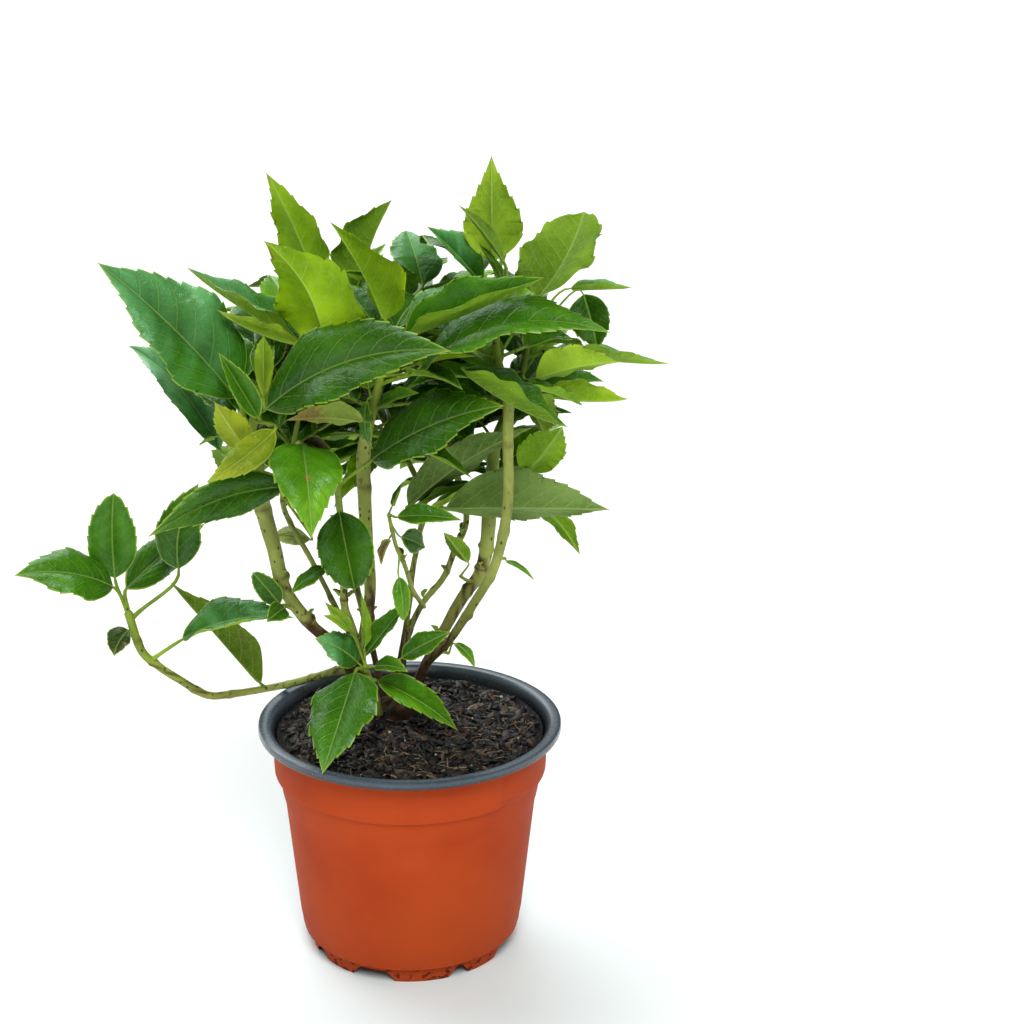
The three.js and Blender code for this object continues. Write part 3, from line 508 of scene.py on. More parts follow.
# The same even curve through a course that the solids follow
def course_point(course, share):
    points = np.array(course, float)
    last = len(points) - 1
    shares = np.atleast_1d(np.asarray(share, float)) * last
    i = np.clip(shares.astype(int), 0, last - 1)
    f = (shares - i)[:, None]
    padded = np.vstack([2 * points[0] - points[1], points, 2 * points[-1] - points[-2]])
    a, b, c, d = padded[i], padded[i + 1], padded[i + 2], padded[i + 3]
    m, n = (c - a) / 2, (d - b) / 2
    curve = (2 * b - 2 * c + m + n) * f ** 3 + (-3 * b + 3 * c - 2 * m - n) * f ** 2 + m * f + b
    return curve if np.ndim(share) else curve[0]


def unit(vectors):
    return vectors / np.maximum(np.linalg.norm(vectors, axis=-1, keepdims=True), 1e-9)


# Directions ahead, to the side and up of a blade or stalk at given climbs and headings
def leaf_axes(climb, heading, tilt):
    rise = np.radians(np.atleast_1d(climb).astype(float))
    turn = np.radians(np.broadcast_to(heading, rise.shape).astype(float))
    ahead = np.stack([np.cos(rise) * np.cos(turn), np.cos(rise) * np.sin(turn), np.sin(rise)], -1)
    flat = np.stack([-np.sin(turn), np.cos(turn), np.zeros_like(turn)], -1)
    face = np.cross(ahead, flat)
    lean = math.radians(tilt)
    side = flat * math.cos(lean) + face * math.sin(lean)
    return ahead, side, np.cross(ahead, side)


# How much thinner the stalk and blade of a small leaf are
def leaf_scale(length):
    return min(max(length / 40, 0.5), 1)


# Plain rings of a leaf, as in the solids: they tell whether its way is free
def leaf_rings(start, leaf):
    _, turn, climb, length, width, stalk, droop, tilt, fold, swing, lift = leaf
    size = leaf_scale(length)

    def ring(centre, side, up, half, thick, folded):
        out = half * math.cos(math.radians(folded))
        rise = half * math.sin(math.radians(folded))
        return [centre - side * out + up * rise, centre - up * thick, centre + side * out + up * rise,
            centre + up * thick]

    ahead, side, up = leaf_axes(climb + lift, turn + swing, tilt)
    reach = STALK_RADIUS * size + GAP
    stalk_ring = ring(start, side[0], up[0], reach, reach, 0)
    centre = start + ahead[0] * stalk
    reached = 0
    rings = []
    for i, (share, spread) in enumerate(BLADE_SHAPE):
        middle, _, _ = leaf_axes(climb - droop * (share + reached) / 2, turn, tilt)
        centre = centre + middle[0] * length * (share - reached)
        reached = share
        _, side, up = leaf_axes(climb - droop * share, turn, tilt)
        half = max(length * width * spread / 2, STALK_RADIUS * size if i == 0 else 0) + GAP
        thick = BLADE_THICKNESS * size * (1 - 0.6 * share) / 2 + GAP
        rings.append(ring(centre, side[0], up[0], half, thick, 0 if i == 0 else fold))
    return stalk_ring, rings, centre


def ring_tree(rings):
    sides = len(rings[0])
    points = [Vector(point) for one in rings for point in one]
    faces = [list(range(sides))]
    for i in range(len(rings) - 1):
        for k in range(sides):
            near = i * sides + k
            following = i * sides + (k + 1) % sides
            faces.append([near, following, following + sides, near + sides])
    faces.append([(len(rings) - 1) * sides + k for k in range(sides)])
    low = np.min(np.array([list(p) for p in points]), 0)
    high = np.max(np.array([list(p) for p in points]), 0)
    return {"tree": BVHTree.FromPolygons(points, faces), "low": low, "high": high}


def touches(one, other):
    if np.any(one["low"] > other["high"]) or np.any(other["low"] > one["high"]):
        return False
    return bool(one["tree"].overlap(other["tree"]))


def leaf_room(start, leaf):
    stalk_ring, rings, tip = leaf_rings(start, leaf)
    return {"blade": ring_tree(rings), "stalk": ring_tree([stalk_ring, rings[0]]), "tip": tip}


# Rings round a stem or twig, with the gap that leaves keep from it
def limb_rings(course, radius, sides, steps, low=0.0):
    shares = np.linspace(low, 1, steps + 1)
    centres = course_point(course, shares)
    before = course_point(course, np.maximum(shares - HEADING_STEP, 0))
    after = course_point(course, np.minimum(shares + HEADING_STEP, 1))
    headings = unit(after - before)
    side = np.array([0.0, 1.0, 0.0])
    rings = []
    for centre, heading, share in zip(centres, headings, shares):
        side = unit(side - heading * np.dot(side, heading))
        other = np.cross(heading, side)
        reach = between(radius, share) + GAP
        angles = np.arange(sides) * 2 * math.pi / sides
        rings.append([centre + side * reach * math.cos(a) + other * reach * math.sin(a) for a in angles])
    return rings


def limb_sides(radius):
    return 7 if radius[0] > STOUT_RADIUS else 5


# Share of a course at which it has left the fork of the root crown
def fork_share(course):
    share = 0.0
    while course_point(course, share)[2] < CROWN_FORK:
        share += 0.002
    return share


def inside_envelope(tip):
    x, y, z = tip
    return (ENVELOPE["left"] < x < ENVELOPE["right"] and ENVELOPE["front"] < y < ENVELOPE["back"]
        and ENVELOPE["bottom"] < z < ENVELOPE["top"])


def inside_crown(tip, middle, reach):
    return np.linalg.norm((tip - np.array(middle)) / np.array(reach)) < 1


def is_blocked(room, mass, limbs, grown):
    if not inside_envelope(room["tip"]):
        return True
    if any(touches(room["blade"], limb) or touches(room["stalk"], limb) for limb in limbs):
        return True
    for other in grown:
        if touches(room["blade"], other["blade"]):
            return True
        if other["mass"] != mass and (touches(room["blade"], other["stalk"])
                or touches(room["stalk"], other["blade"]) or touches(room["stalk"], other["stalk"])):
            return True
    return False


# Grows a leaf, turned aside a little where the way is blocked, or skips it
def grow_leaf(mass, course, leaf, tint, limbs, grown, space=None):
    start = course_point(course, leaf[0])
    for size in SHRINKING if space else [1]:
        for step in range(SEEDED_TRIES if space else PLANNED_TRIES):
            tried = list(leaf)
            tried[1] += SPIRAL_ASIDE * step * math.cos(math.radians(SPIRAL_TURN * step))
            tried[2] += SPIRAL_LIFT * step * math.sin(math.radians(SPIRAL_TURN * step))
            tried[3] *= size
            room = leaf_room(start, tried)
            if space and not inside_crown(room["tip"], *space):
                continue
            if is_blocked(room, mass, limbs, grown):
                continue
            grown.append({"mass": mass, "start": start, "leaf": tried, "tint": tint, **room})
            return


# The seeded rule: opposite leaves at each node of the twig, each pair a quarter turn on from the last
def filled_leaves(order, fill, later):
    leaves = []
    wider = LATER_SECTOR if later else 0
    low, high = fill["sector"][0] - wider, fill["sector"][1] + wider
    for i in range(2 * fill["nodes"]):
        draw = seeded(order * 100 + i + 1 + 5000 * later)
        height = (i // 2 + 0.5) / fill["nodes"]
        turned = fill["turn"] + LATER_TURN * later + 90 * (i // 2) + 180 * (i % 2)
        heading = turned + between(FILL_JITTER, draw())
        climb = between(FILL_CLIMB, height) + between(FILL_JITTER, draw())
        sizes = [between(span, draw()) for span in (FILL_LENGTH, FILL_WIDTH, FILL_STALK)]
        bends = [between(span, draw()) for span in (FILL_DROOP, FILL_TILT, FILL_FOLD)]
        leaf = [between(FILL_SPAN, height), heading, climb, *sizes, *bends, 0, 0]
        if (heading - low) % 360 <= high - low:
            leaves.append((leaf, FILL_TINTS[int(draw() * len(FILL_TINTS)) % len(FILL_TINTS)]))
    return leaves


def is_upright(stem):
    return stem["carrier"] == "root_crown" and not stem.get("sideways")


# All leaves: the planned ones, the dried scraps, then the seeded rounds
def grow_all():
    limbs = {}
    for name, stem in STEMS.items():
        course, radius = stem["course"], stem["radius"]
        sides = limb_sides(radius)
        low = fork_share(course) - 0.02 if is_upright(stem) else 0
        limbs[name] = ring_tree(limb_rings(course, radius, sides, math.ceil(1.5 * len(course)), low))
        if is_upright(stem):
            short = [list(point) for point in course_point(course, np.linspace(0, low, 4))]
            limbs[name + "_foot"] = ring_tree(limb_rings(short, radius, sides, 3))
    twigs = {}
    for name, mass in MASSES.items():
        steps = math.ceil(1.3 * (len(mass["course"]) - 1))
        twigs[name] = ring_tree(limb_rings(mass["course"], mass["radius"], 5, steps))

    def beside(name):
        return list(limbs.values()) + [twig for other, twig in twigs.items() if other != name]

    grown = []
    for name, mass in MASSES.items():
        for leaf, tint in zip(mass["leaves"], mass["tints"].split()):
            grow_leaf(name, mass["course"], leaf, tint, beside(name), grown)
    for name, leaf in DRIED:
        grow_leaf(name, MASSES[name]["course"], leaf, "brown", beside(name), grown)
    for later in range(LATER_ROUNDS + 1):
        for order, (name, mass) in enumerate(MASSES.items()):
            if "fill" not in mass:
                continue
            for leaf, tint in filled_leaves(order, mass["fill"], later):
                leaf[3] *= LATER_SIZE ** later
                space = (LATER_MIDDLE, LATER_REACH) if later else (CROWN_MIDDLE, CROWN_REACH)
                grow_leaf(name, mass["course"], leaf, tint, beside(name), grown, space)
    return grown


# A mesh object from quads in mm, with texture maps and a colour for each point
def make_piece(name, points, quads, materials, which, maps=None, colours=None):
    mesh = bpy.data.meshes.new(name)
    points = np.asarray(points, float) * MM
    quads = np.asarray(quads, np.int32)
    mesh.vertices.add(len(points))
    mesh.vertices.foreach_set("co", points.astype(np.float32).ravel())
    mesh.loops.add(quads.size)
    mesh.loops.foreach_set("vertex_index", quads.ravel())
    mesh.polygons.add(len(quads))
    mesh.polygons.foreach_set("loop_start", np.arange(len(quads), dtype=np.int32) * quads.shape[1])
    mesh.polygons.foreach_set("loop_total", np.full(len(quads), quads.shape[1], np.int32))
    for material in materials:
        mesh.materials.append(material)
    mesh.polygons.foreach_set("material_index", np.asarray(which, np.int32))
    for map_name, places in (maps or {}).items():
        layer = mesh.uv_layers.new(name=map_name)
        layer.data.foreach_set("uv", np.asarray(places, np.float32)[quads.ravel()].ravel())
    if colours is not None:
        layer = mesh.color_attributes.new(name="tint", type="FLOAT_COLOR", domain="POINT")
        filled = np.hstack([np.asarray(colours, np.float32), np.ones((len(points), 1), np.float32)])
        layer.data.foreach_set("color", filled.ravel())
    mesh.update()
    mesh.validate()
    mesh.polygons.foreach_set("use_smooth", np.full(len(mesh.polygons), True))
    piece = bpy.data.objects.new(name, mesh)
    bpy.context.scene.collection.objects.link(piece)
    return piece


def grid_quads(rows, columns, offset=0, closed=False):
    i, j = np.meshgrid(np.arange(rows - 1), np.arange(columns if closed else columns - 1), indexing="ij")
    following = (j + 1) % columns
    corners = [i * columns + j, (i + 1) * columns + j, (i + 1) * columns + following, i * columns + following]
    return np.stack([corner.ravel() for corner in corners], -1) + offset


class Bundle:
    """Gathers many small grids into one mesh."""

    def __init__(self):
        self.points, self.quads, self.which, self.colours = [], [], [], []
        self.maps = {"OFBake": [], "Blade": [], "Veins": []}
        self.count = 0

    def add(self, grid, which, colour, bake, blade=None, veins=None, closed=False, flip=False):
        rows, columns = grid.shape[:2]
        quads = grid_quads(rows, columns, self.count, closed)
        if flip:
            quads = quads[:, [0, 3, 2, 1]]
        self.points.append(grid.reshape(-1, 3))
        self.quads.append(quads)
        self.which.append(np.full(len(quads), which))
        self.colours.append(np.broadcast_to(colour, (rows, columns, 3)).reshape(-1, 3))
        for key, places in (("OFBake", bake), ("Blade", blade), ("Veins", veins)):
            places = bake if places is None else places
            self.maps[key].append(np.asarray(places).reshape(-1, 2))
        self.count += rows * columns

    def piece(self, name, materials):
        maps = {key: np.vstack(places) for key, places in self.maps.items()}
        return make_piece(name, np.vstack(self.points), np.vstack(self.quads), materials,
            np.concatenate(self.which), maps, np.vstack(self.colours))


# The corner of one leaf's own cell in the texture that its group shares
def bake_cell(index, total, across, along):
    side = math.ceil(math.sqrt(total))
    inset = 0.04
    u = (index % side + inset + (1 - 2 * inset) * across) / side
    v = (index // side + inset + (1 - 2 * inset) * along) / side
    return np.stack([u, v], -1)


# Rows of points along a blade, each with how far its tooth stands out there
def station_table(length):
    teeth = max(LEAST_TEETH, round(length / TOOTH_PITCH))
    first, last = TOOTHED_SPAN
    pitch = (last - first) / teeth
    stations = [(share, 0.0) for share in np.linspace(0, first, 6)[:-1]]
    for tooth in range(teeth):
        stations += [(first + pitch * (tooth + f), height) for f, height in TOOTH_STEPS]
    stations += [(share, 0.0) for share in TIP_ROWS]
    return np.array(stations), pitch


# How far the blade rises from the plane of its midrib, with q from one margin to the other
def blade_lift(q, along, swell, fold_angle, lip, draw):
    a = np.abs(q)
    rise = np.sqrt(a ** 2 + 0.0016) - 0.04
    lift = swell * math.sin(fold_angle) * rise + swell * HALF_ARCH * np.sin(np.pi * a) * (0.5 + 0.5 * draw())
    wave = 2 * np.pi * (2.2 + draw()) * along + np.where(q > 0, FULL_TURN * draw(), FULL_TURN * draw())
    lift = lift + MARGIN_WAVE * swell * a ** 3 * np.sin(wave)
    slow = np.sin(9 * along + 2.4 * q + FULL_TURN * draw())
    lift = lift + BLADE_WAVE * swell * slow * smoothstep(0.0, 0.4, a)
    return lift + LIP_LIFT * swell * lip


# One blade: upper side and underside with teeth, a fold, arched halves, sunk veins and a wavy margin
def blade_grids(start, leaf, seed, form, rolled, columns):
    _, turn, climb, length, width, stalk, droop, tilt, fold, swing, lift = leaf
    draw = seeded(seed)
    stations, pitch = station_table(length)
    s, tooth = stations[:, 0], stations[:, 1]
    leave, _, _ = leaf_axes(climb + lift, turn + swing, tilt)
    arrive, _, _ = leaf_axes(climb, turn, tilt)
    fine = np.linspace(0, 1, 201)
    ahead, _, _ = leaf_axes(climb - droop * fine, turn, tilt)
    steps = (ahead[1:] + ahead[:-1]) / 2 * length / 200
    line = np.vstack([np.zeros(3), np.cumsum(steps, 0)]) + start + leave[0] * stalk

    other = smooth_table(POINTED_OUTLINE if form < 0 else BLUNT_OUTLINE, s)
    spread = smooth_table(PLAIN_OUTLINE, s) * (1 - abs(form)) + other * abs(form)
    spread = np.clip(spread, 0.012, 1.03)[:, None]
    q = np.array([-share for share in columns[:0:-1]] + columns)[None, :]
    a = np.abs(q)
    edge = smoothstep(*TOOTHED_EDGE, a)
    forward = TOOTH_LEAN * pitch * (tooth[:, None] - 0.4) * edge * smoothstep(0.1, 0.3, spread)
    along = np.clip(s[:, None] + forward, 0, 1)
    centre = np.stack([np.interp(along, fine, line[:, k]) for k in range(3)], -1)
    _, side, up = leaf_axes((climb - droop * along).ravel(), turn, tilt)
    side = side.reshape(along.shape + (3,))
    up = up.reshape(along.shape + (3,))

    half = length * width / 2
    swell = half * spread
    depth = TOOTH_DEPTH * min(half / 16, 1.15) * (0.75 + 0.25 * np.sin(29 * s + FULL_TURN * draw()))[:, None]
    toothed = depth * (tooth[:, None] - 0.5) * edge * np.clip(spread * 1.6, 0.0, 1)
    reach = (swell + toothed) * a
    rolled_side, rolled_by = rolled
    ends = np.clip(1.6 * np.sin(np.pi * s), 0, 1)[:, None]
    lip = rolled_by * smoothstep(0.5, 1.0, a) * (q * rolled_side > 0) * ends
    fold_angle = math.radians(fold)
    out = np.sign(q) * reach * math.cos(fold_angle) * (1 - LIP_TUCK * lip)
    height = blade_lift(q, along, swell, fold_angle, lip, draw)

    vein_place = along - (VEIN_SWEEP[0] * a + VEIN_SWEEP[1] * a ** 3) * spread
    beside_vein = np.abs(((vein_place * SIDE_VEINS * VEIN_PACE + VEIN_START) % 1) - 0.5) * 2
    quilt = QUILT_HEIGHT * min(length / 60, 1.2) * (1 - beside_vein ** 4)
    quilt = quilt * smoothstep(0.02, 0.16, a) * (1 - smoothstep(0.7, 1.0, a)) * np.clip(spread, 0, 1)
    upper = centre + side * out[..., None] + up * (height + quilt)[..., None]
    rib = MIDRIB_DEPTH * (1 - 0.85 * s[:, None]) * np.exp(-(reach / MIDRIB_REACH) ** 2)
    vein_rib = VEIN_RIB * beside_vein ** 8 * smoothstep(0.02, 0.1, a) * (1 - smoothstep(0.75, 1.0, a))
    skin = (BLADE_SKIN + rib + vein_rib) * (1 - smoothstep(0.9, 1.0, a)) * np.clip(spread * 4, 0, 1)
    under = upper - up * skin[..., None]
    blade_map = np.stack([np.broadcast_to(q * 0.5 + 0.5, along.shape), along], -1)
    vein_map = np.stack([vein_place, np.broadcast_to(swell / VEIN_UNIT, along.shape)], -1)
    return (upper, under, blade_map, vein_map), (line[0], arrive[0], leave[0])


# Both skins of a blade, each with its own cell in the texture
def add_blade(bundle, skins, top, low, index, total):
    upper, under, blade_map, vein_map = skins
    cells = [bake_cell(2 * index + k, 2 * total, blade_map[..., 0], blade_map[..., 1]) for k in (0, 1)]
    bundle.add(upper, 0, top, cells[0], blade_map, vein_map)
    bundle.add(under, 1, low, cells[1], blade_map, vein_map, flip=True)


# Rings of points round a line, with one radius for each ring or for each point
def tube_grid(line, radii, sides):
    headings = unit(np.gradient(line, axis=0))
    side = np.array([0.0, 1.0, 0.0]) if abs(headings[0][1]) < 0.9 else np.array([1.0, 0.0, 0.0])
    angles = np.arange(sides) * 2 * math.pi / sides
    rows = []
    for centre, heading, radius in zip(line, headings, radii):
        side = unit(side - heading * np.dot(side, heading))
        other = np.cross(heading, side)
        reach = np.broadcast_to(radius, sides)[:, None]
        rows.append(centre + reach * (np.cos(angles)[:, None] * side + np.sin(angles)[:, None] * other))
    return np.array(rows)


def tube_maps(grid, index, total):
    rows, columns = grid.shape[:2]
    along, across = np.meshgrid(np.linspace(0, 1, rows), np.linspace(0, 1, columns), indexing="ij")
    return bake_cell(index, total, across, along)


# A stalk that leaves the twig one way and runs into the blade's midrib
def stalk_line(start, base, arrive, leave):
    reach = np.linalg.norm(base - start)
    handles = [start, start + leave * reach * 0.42, base - arrive * reach * 0.3, base]
    t = np.linspace(0, 1, 9)[:, None]
    curve = ((1 - t) ** 3 * handles[0] + 3 * t * (1 - t) ** 2 * handles[1] + 3 * t * t * (1 - t) * handles[2]
        + t ** 3 * handles[3])
    return np.vstack([curve, base + arrive * 1.5])


class Shader:
    """Builds a node material in short calls."""

    def __init__(self, name):
        self.material = bpy.data.materials.new(name)
        self.material.use_nodes = True
        self.tree = self.material.node_tree
        self.surface = self.tree.nodes["Principled BSDF"]

    def node(self, kind, settings=None, **sockets):
        node = self.tree.nodes.new(kind)
        for key, value in (settings or {}).items():
            setattr(node, key, value)
        for key, value in sockets.items():
            self.feed(node.inputs[key.replace("_", " ")], value)
        return node

    def feed(self, socket, value):
        if isinstance(value, bpy.types.NodeSocket):
            self.tree.links.new(value, socket)
        elif isinstance(value, (list, tuple)) and len(value) == 3 and len(socket.default_value) == 4:
            socket.default_value = (*value, 1)
        else:
            socket.default_value = value

    def math(self, operation, first, second=0.5):
        node = self.tree.nodes.new("ShaderNodeMath")
        node.operation = operation
        self.feed(node.inputs[0], first)
        self.feed(node.inputs[1], second)
        return node.outputs[0]

    def times(self, first, second):
        return self.math("MULTIPLY", first, second)

    def plus(self, first, second):
        return self.math("ADD", first, second)

    def less(self, first, second):
        return self.math("SUBTRACT", first, second)

    def attribute(self, name):
        return self.node("ShaderNodeAttribute", {"attribute_name": name}).outputs["Color"]

    def place(self):
        return self.tree.nodes.new("ShaderNodeTexCoord").outputs["Object"]

    # Rises from 0 at low to 1 at high, or falls where low is the greater
    def step(self, value, low, high):
        node = self.node("ShaderNodeMapRange", {"interpolation_type": "SMOOTHSTEP"}, Value=value)
        node.inputs["From Min"].default_value = low
        node.inputs["From Max"].default_value = high
        return node.outputs["Result"]

    def mix(self, share, first, second, blend="MIX"):
        node = self.tree.nodes.new("ShaderNodeMix")
        node.data_type = "RGBA"
        node.blend_type = blend
        self.feed(node.inputs[0], share)
        self.feed(node.inputs[6], first)
        self.feed(node.inputs[7], second)
        return node.outputs[2]

    def noise(self, scale, detail=3, rough=0.55, stretch=None):
        place = self.place()
        if stretch:
            place = self.node("ShaderNodeMapping", Vector=place, Scale=stretch).outputs[0]
        node = self.node("ShaderNodeTexNoise", Vector=place, Scale=scale, Detail=detail, Roughness=rough)
        return node.outputs["Fac"]

    def cells(self, scale, feature="DISTANCE_TO_EDGE", stretch=None, warp=0.0):
        place = self.place()
        if warp:
            swirl = self.node("ShaderNodeTexNoise", Vector=place, Scale=scale * 0.6, Detail=2.0)
            moved = self.node("ShaderNodeVectorMath", {"operation": "MULTIPLY_ADD"})
            self.feed(moved.inputs[0], swirl.outputs["Color"])
            moved.inputs[1].default_value = (warp, warp, warp)
            self.feed(moved.inputs[2], place)
            place = moved.outputs["Vector"]
        if stretch:
            place = self.node("ShaderNodeMapping", Vector=place, Scale=stretch).outputs[0]
        node = self.node("ShaderNodeTexVoronoi", {"feature": feature}, Vector=place, Scale=scale)
        return node.outputs["Distance"]

    def bump(self, height, distance, strength=1.0, under=None):
        node = self.node("ShaderNodeBump", Height=height, Strength=strength, Distance=distance)
        if under is not None:
            self.feed(node.inputs["Normal"], under)
        return node.outputs["Normal"]

    def finish(self, colour, rough, normal=None, **constant):
        self.feed(self.surface.inputs["Base Color"], colour)
        self.feed(self.surface.inputs["Roughness"], rough)
        if normal is not None:
            self.feed(self.surface.inputs["Normal"], normal)
        for key, value in constant.items():
            self.surface.inputs[key.replace("_", " ")].default_value = value
        return self.material


# Green leaves reflect the sky in a cool green
SHEEN_TINT = (0.78, 1.0, 0.88, 1)


# Midrib and side veins from the maps, and a fine net of cells, on a mottled blade
def leaf_material(name, upper):
    shader = Shader(name)
    tint = shader.attribute("tint")
    blade = shader.node("ShaderNodeUVMap", {"uv_map": "Blade"}).outputs[0]
    veins = shader.node("ShaderNodeUVMap", {"uv_map": "Veins"}).outputs[0]
    split = shader.node("ShaderNodeSeparateXYZ", Vector=blade)
    across = shader.math("ABSOLUTE", shader.less(shader.times(split.outputs[0], 2.0), 1.0))
    parts = shader.node("ShaderNodeSeparateXYZ", Vector=veins)
    place, half_width = parts.outputs[0], parts.outputs[1]
    distance = shader.times(across, half_width)
    midrib = shader.step(distance, 0.017, 0.004)
    turns = shader.plus(shader.times(place, SIDE_VEINS * VEIN_PACE), VEIN_START)
    off = shader.math("ABSOLUTE", shader.less(shader.math("FRACT", turns), 0.5))
    inner = shader.step(across, 0.98, 0.7)
    side = shader.times(shader.step(off, 0.445, 0.49), inner)
    web = shader.step(shader.cells(300.0, warp=0.0018), 0.13, 0.0)
    web = shader.times(web, inner)
    mesh = shader.step(shader.cells(620.0), 0.14, 0.0)
    pits = shader.step(shader.cells(1500.0), 0.2, 0.0)
    patches = shader.noise(42.0, 3)
    mottle = shader.noise(300.0, 3)
    margin = shader.step(shader.times(shader.less(1.0, across), half_width), 0.022, 0.004)
    vein = shader.math("MAXIMUM", midrib, shader.times(side, 0.58))
    dark = shader.mix(1.0, tint, (0.6, 0.68, 0.5), "MULTIPLY")
    light = shader.mix(1.0, tint, (1.28, 1.2, 1.2), "MULTIPLY")
    body = shader.mix(shader.step(patches, 0.36, 0.66), dark, light)
    body = shader.mix(shader.times(shader.step(mottle, 0.42, 0.68), 0.15), body, light)
    if upper:
        pale = shader.mix(0.5, tint, (0.3, 0.46, 0.1))
        # Painted shade: the blade is darker in the sunk grooves beside the side veins, so the raised quilting
        # between them reads lighter
        painted_groove_shade = shader.times(shader.step(off, 0.24, 0.45), shader.times(inner, 0.45))
        body = shader.mix(painted_groove_shade, body, dark)
        body = shader.mix(shader.times(mesh, 0.07), body, pale)
        body = shader.mix(shader.times(web, 0.1), body, pale)
        colour = shader.mix(shader.times(vein, 0.85), body, pale)
        colour = shader.mix(shader.times(margin, 0.75), colour, (0.3, 0.44, 0.04))
        height = shader.less(shader.times(pits, -0.12), shader.times(mesh, 0.4))
        height = shader.less(height, shader.times(vein, 1.7))
        height = shader.less(height, shader.times(web, 0.4))
        wrinkles = shader.bump(shader.noise(110.0, 2), 0.001, 0.3)
        normal = shader.bump(height, 0.0002, 0.55, wrinkles)
        rough = shader.plus(shader.times(mottle, 0.14), 0.14)
        return shader.finish(colour, rough, normal, Specular_IOR_Level=0.27, Specular_Tint=SHEEN_TINT)
    pale = shader.mix(0.5, tint, (0.46, 0.58, 0.16))
    # Painted shade: the underside is darker towards the midrib, by up to half
    shade = shader.times(shader.step(across, 0.85, 0.1), 0.5)
    body = shader.mix(shade, body, dark)
    vein = shader.math("MAXIMUM", midrib, shader.times(side, 0.75))
    body = shader.mix(shader.times(mesh, 0.12), body, pale)
    body = shader.mix(shader.times(web, 0.2), body, pale)
    colour = shader.mix(shader.times(vein, 0.8), body, pale)
    colour = shader.mix(shader.times(margin, 0.4), colour, (0.34, 0.42, 0.08))
    height = shader.plus(shader.times(mesh, 0.4), shader.times(vein, 1.4))
    normal = shader.bump(height, 0.00022, 0.6)
    rough = shader.plus(shader.times(mottle, 0.15), 0.5)
    return shader.finish(colour, rough, normal, Specular_IOR_Level=0.12)


def stem_material(name):
    shader = Shader(name)
    tint = shader.attribute("tint")
    patches = shader.noise(60.0, 4)
    grain = shader.noise(190.0, 4, 0.6, (1.0, 1.0, 0.1))
    dots = shader.cells(360.0, "F1", (1.0, 1.0, 0.6))
    thin = shader.noise(55.0, 2)
    dark = shader.mix(1.0, tint, (0.74, 0.72, 0.62), "MULTIPLY")
    light = shader.mix(1.0, tint, (1.15, 1.12, 1.05), "MULTIPLY")
    body = shader.mix(shader.step(patches, 0.36, 0.66), dark, light)
    body = shader.mix(shader.times(shader.step(grain, 0.5, 0.68), 0.35), body, dark)
    spot = shader.step(dots, 0.25, 0.16)
    spot = shader.times(spot, shader.step(thin, 0.36, 0.5))
    colour = shader.mix(shader.times(spot, 0.85), body, (0.03, 0.02, 0.01))
    height = shader.plus(grain, shader.times(spot, 0.5))
    normal = shader.bump(height, 0.0003, 0.5)
    rough = shader.plus(shader.times(patches, 0.25), 0.42)
    return shader.finish(colour, rough, normal, Specular_IOR_Level=0.25)


def bark_material(name):
    shader = Shader(name)
    patches = shader.noise(120.0, 5)
    grain = shader.noise(260.0, 5, 0.65, (1.0, 1.0, 0.2))
    colour = shader.mix(shader.step(patches, 0.35, 0.65), from_srgb(44, 29, 18), from_srgb(88, 64, 40))
    colour = shader.mix(shader.times(shader.step(grain, 0.5, 0.62), 0.6), colour, from_srgb(22, 14, 9))
    normal = shader.bump(grain, 0.0009, 0.9)
    rough = shader.plus(shader.times(grain, 0.3), 0.6)
    return shader.finish(colour, rough, normal, Specular_IOR_Level=0.2)


def soil_material(name):
    shader = Shader(name)
    patches = shader.noise(140.0, 5, 0.65)
    crumbs = shader.cells(520.0, "F1")
    colour = shader.mix(shader.step(patches, 0.38, 0.68), from_srgb(7, 6, 5), from_srgb(27, 21, 17))
    height = shader.plus(shader.noise(600.0, 5, 0.7), shader.times(crumbs, -0.7))
    normal = shader.bump(height, 0.0016, 1.0)
    rough = shader.plus(shader.times(patches, 0.3), 0.55)
    return shader.finish(colour, rough, normal, Specular_IOR_Level=0.25)


def chip_material(name):
    shader = Shader(name)
    tint = shader.attribute("tint")
    grain = shader.noise(700.0, 5, 0.65, (1.0, 0.35, 1.0))
    dark = shader.mix(1.0, tint, (0.45, 0.42, 0.4), "MULTIPLY")
    colour = shader.mix(shader.step(grain, 0.35, 0.66), dark, tint)
    normal = shader.bump(grain, 0.0006, 0.9)
    rough = shader.plus(shader.times(grain, 0.4), 0.26)
    return shader.finish(colour, rough, normal, Specular_IOR_Level=0.4)


def terracotta_material(name):
    shader = Shader(name)
    patches = shader.noise(24.0, 3)
    clouds = shader.noise(11.0, 2)
    scuffs = shader.noise(420.0, 4, 0.6, (1.0, 1.0, 0.25))
    place = shader.place()
    height = shader.node("ShaderNodeSeparateXYZ", Vector=place).outputs[2]
    colour = shader.mix(shader.step(patches, 0.3, 0.7), from_srgb(170, 61, 24), from_srgb(184, 70, 28))
    colour = shader.mix(shader.times(shader.step(clouds, 0.42, 0.64), 0.5), colour, from_srgb(172, 70, 28))
    specks = shader.cells(210.0, "F1")
    speck = shader.step(specks, 0.1, 0.05)
    rare = shader.step(shader.noise(60.0, 3), 0.62, 0.7)
    low = shader.step(height, 0.011, 0.003)
    dirt_low = shader.times(low, shader.step(shader.noise(430.0, 4), 0.55, 0.62))
    dirt = shader.math("MAXIMUM", shader.times(speck, rare), dirt_low)
    colour = shader.mix(shader.times(dirt, 0.85), colour, from_srgb(58, 26, 14))
    normal = shader.bump(shader.plus(scuffs, shader.times(patches, 2.0)), 0.00012, 0.35)
    rough = shader.plus(shader.times(scuffs, 0.12), 0.55)
    return shader.finish(colour, rough, normal, Specular_IOR_Level=0.08)


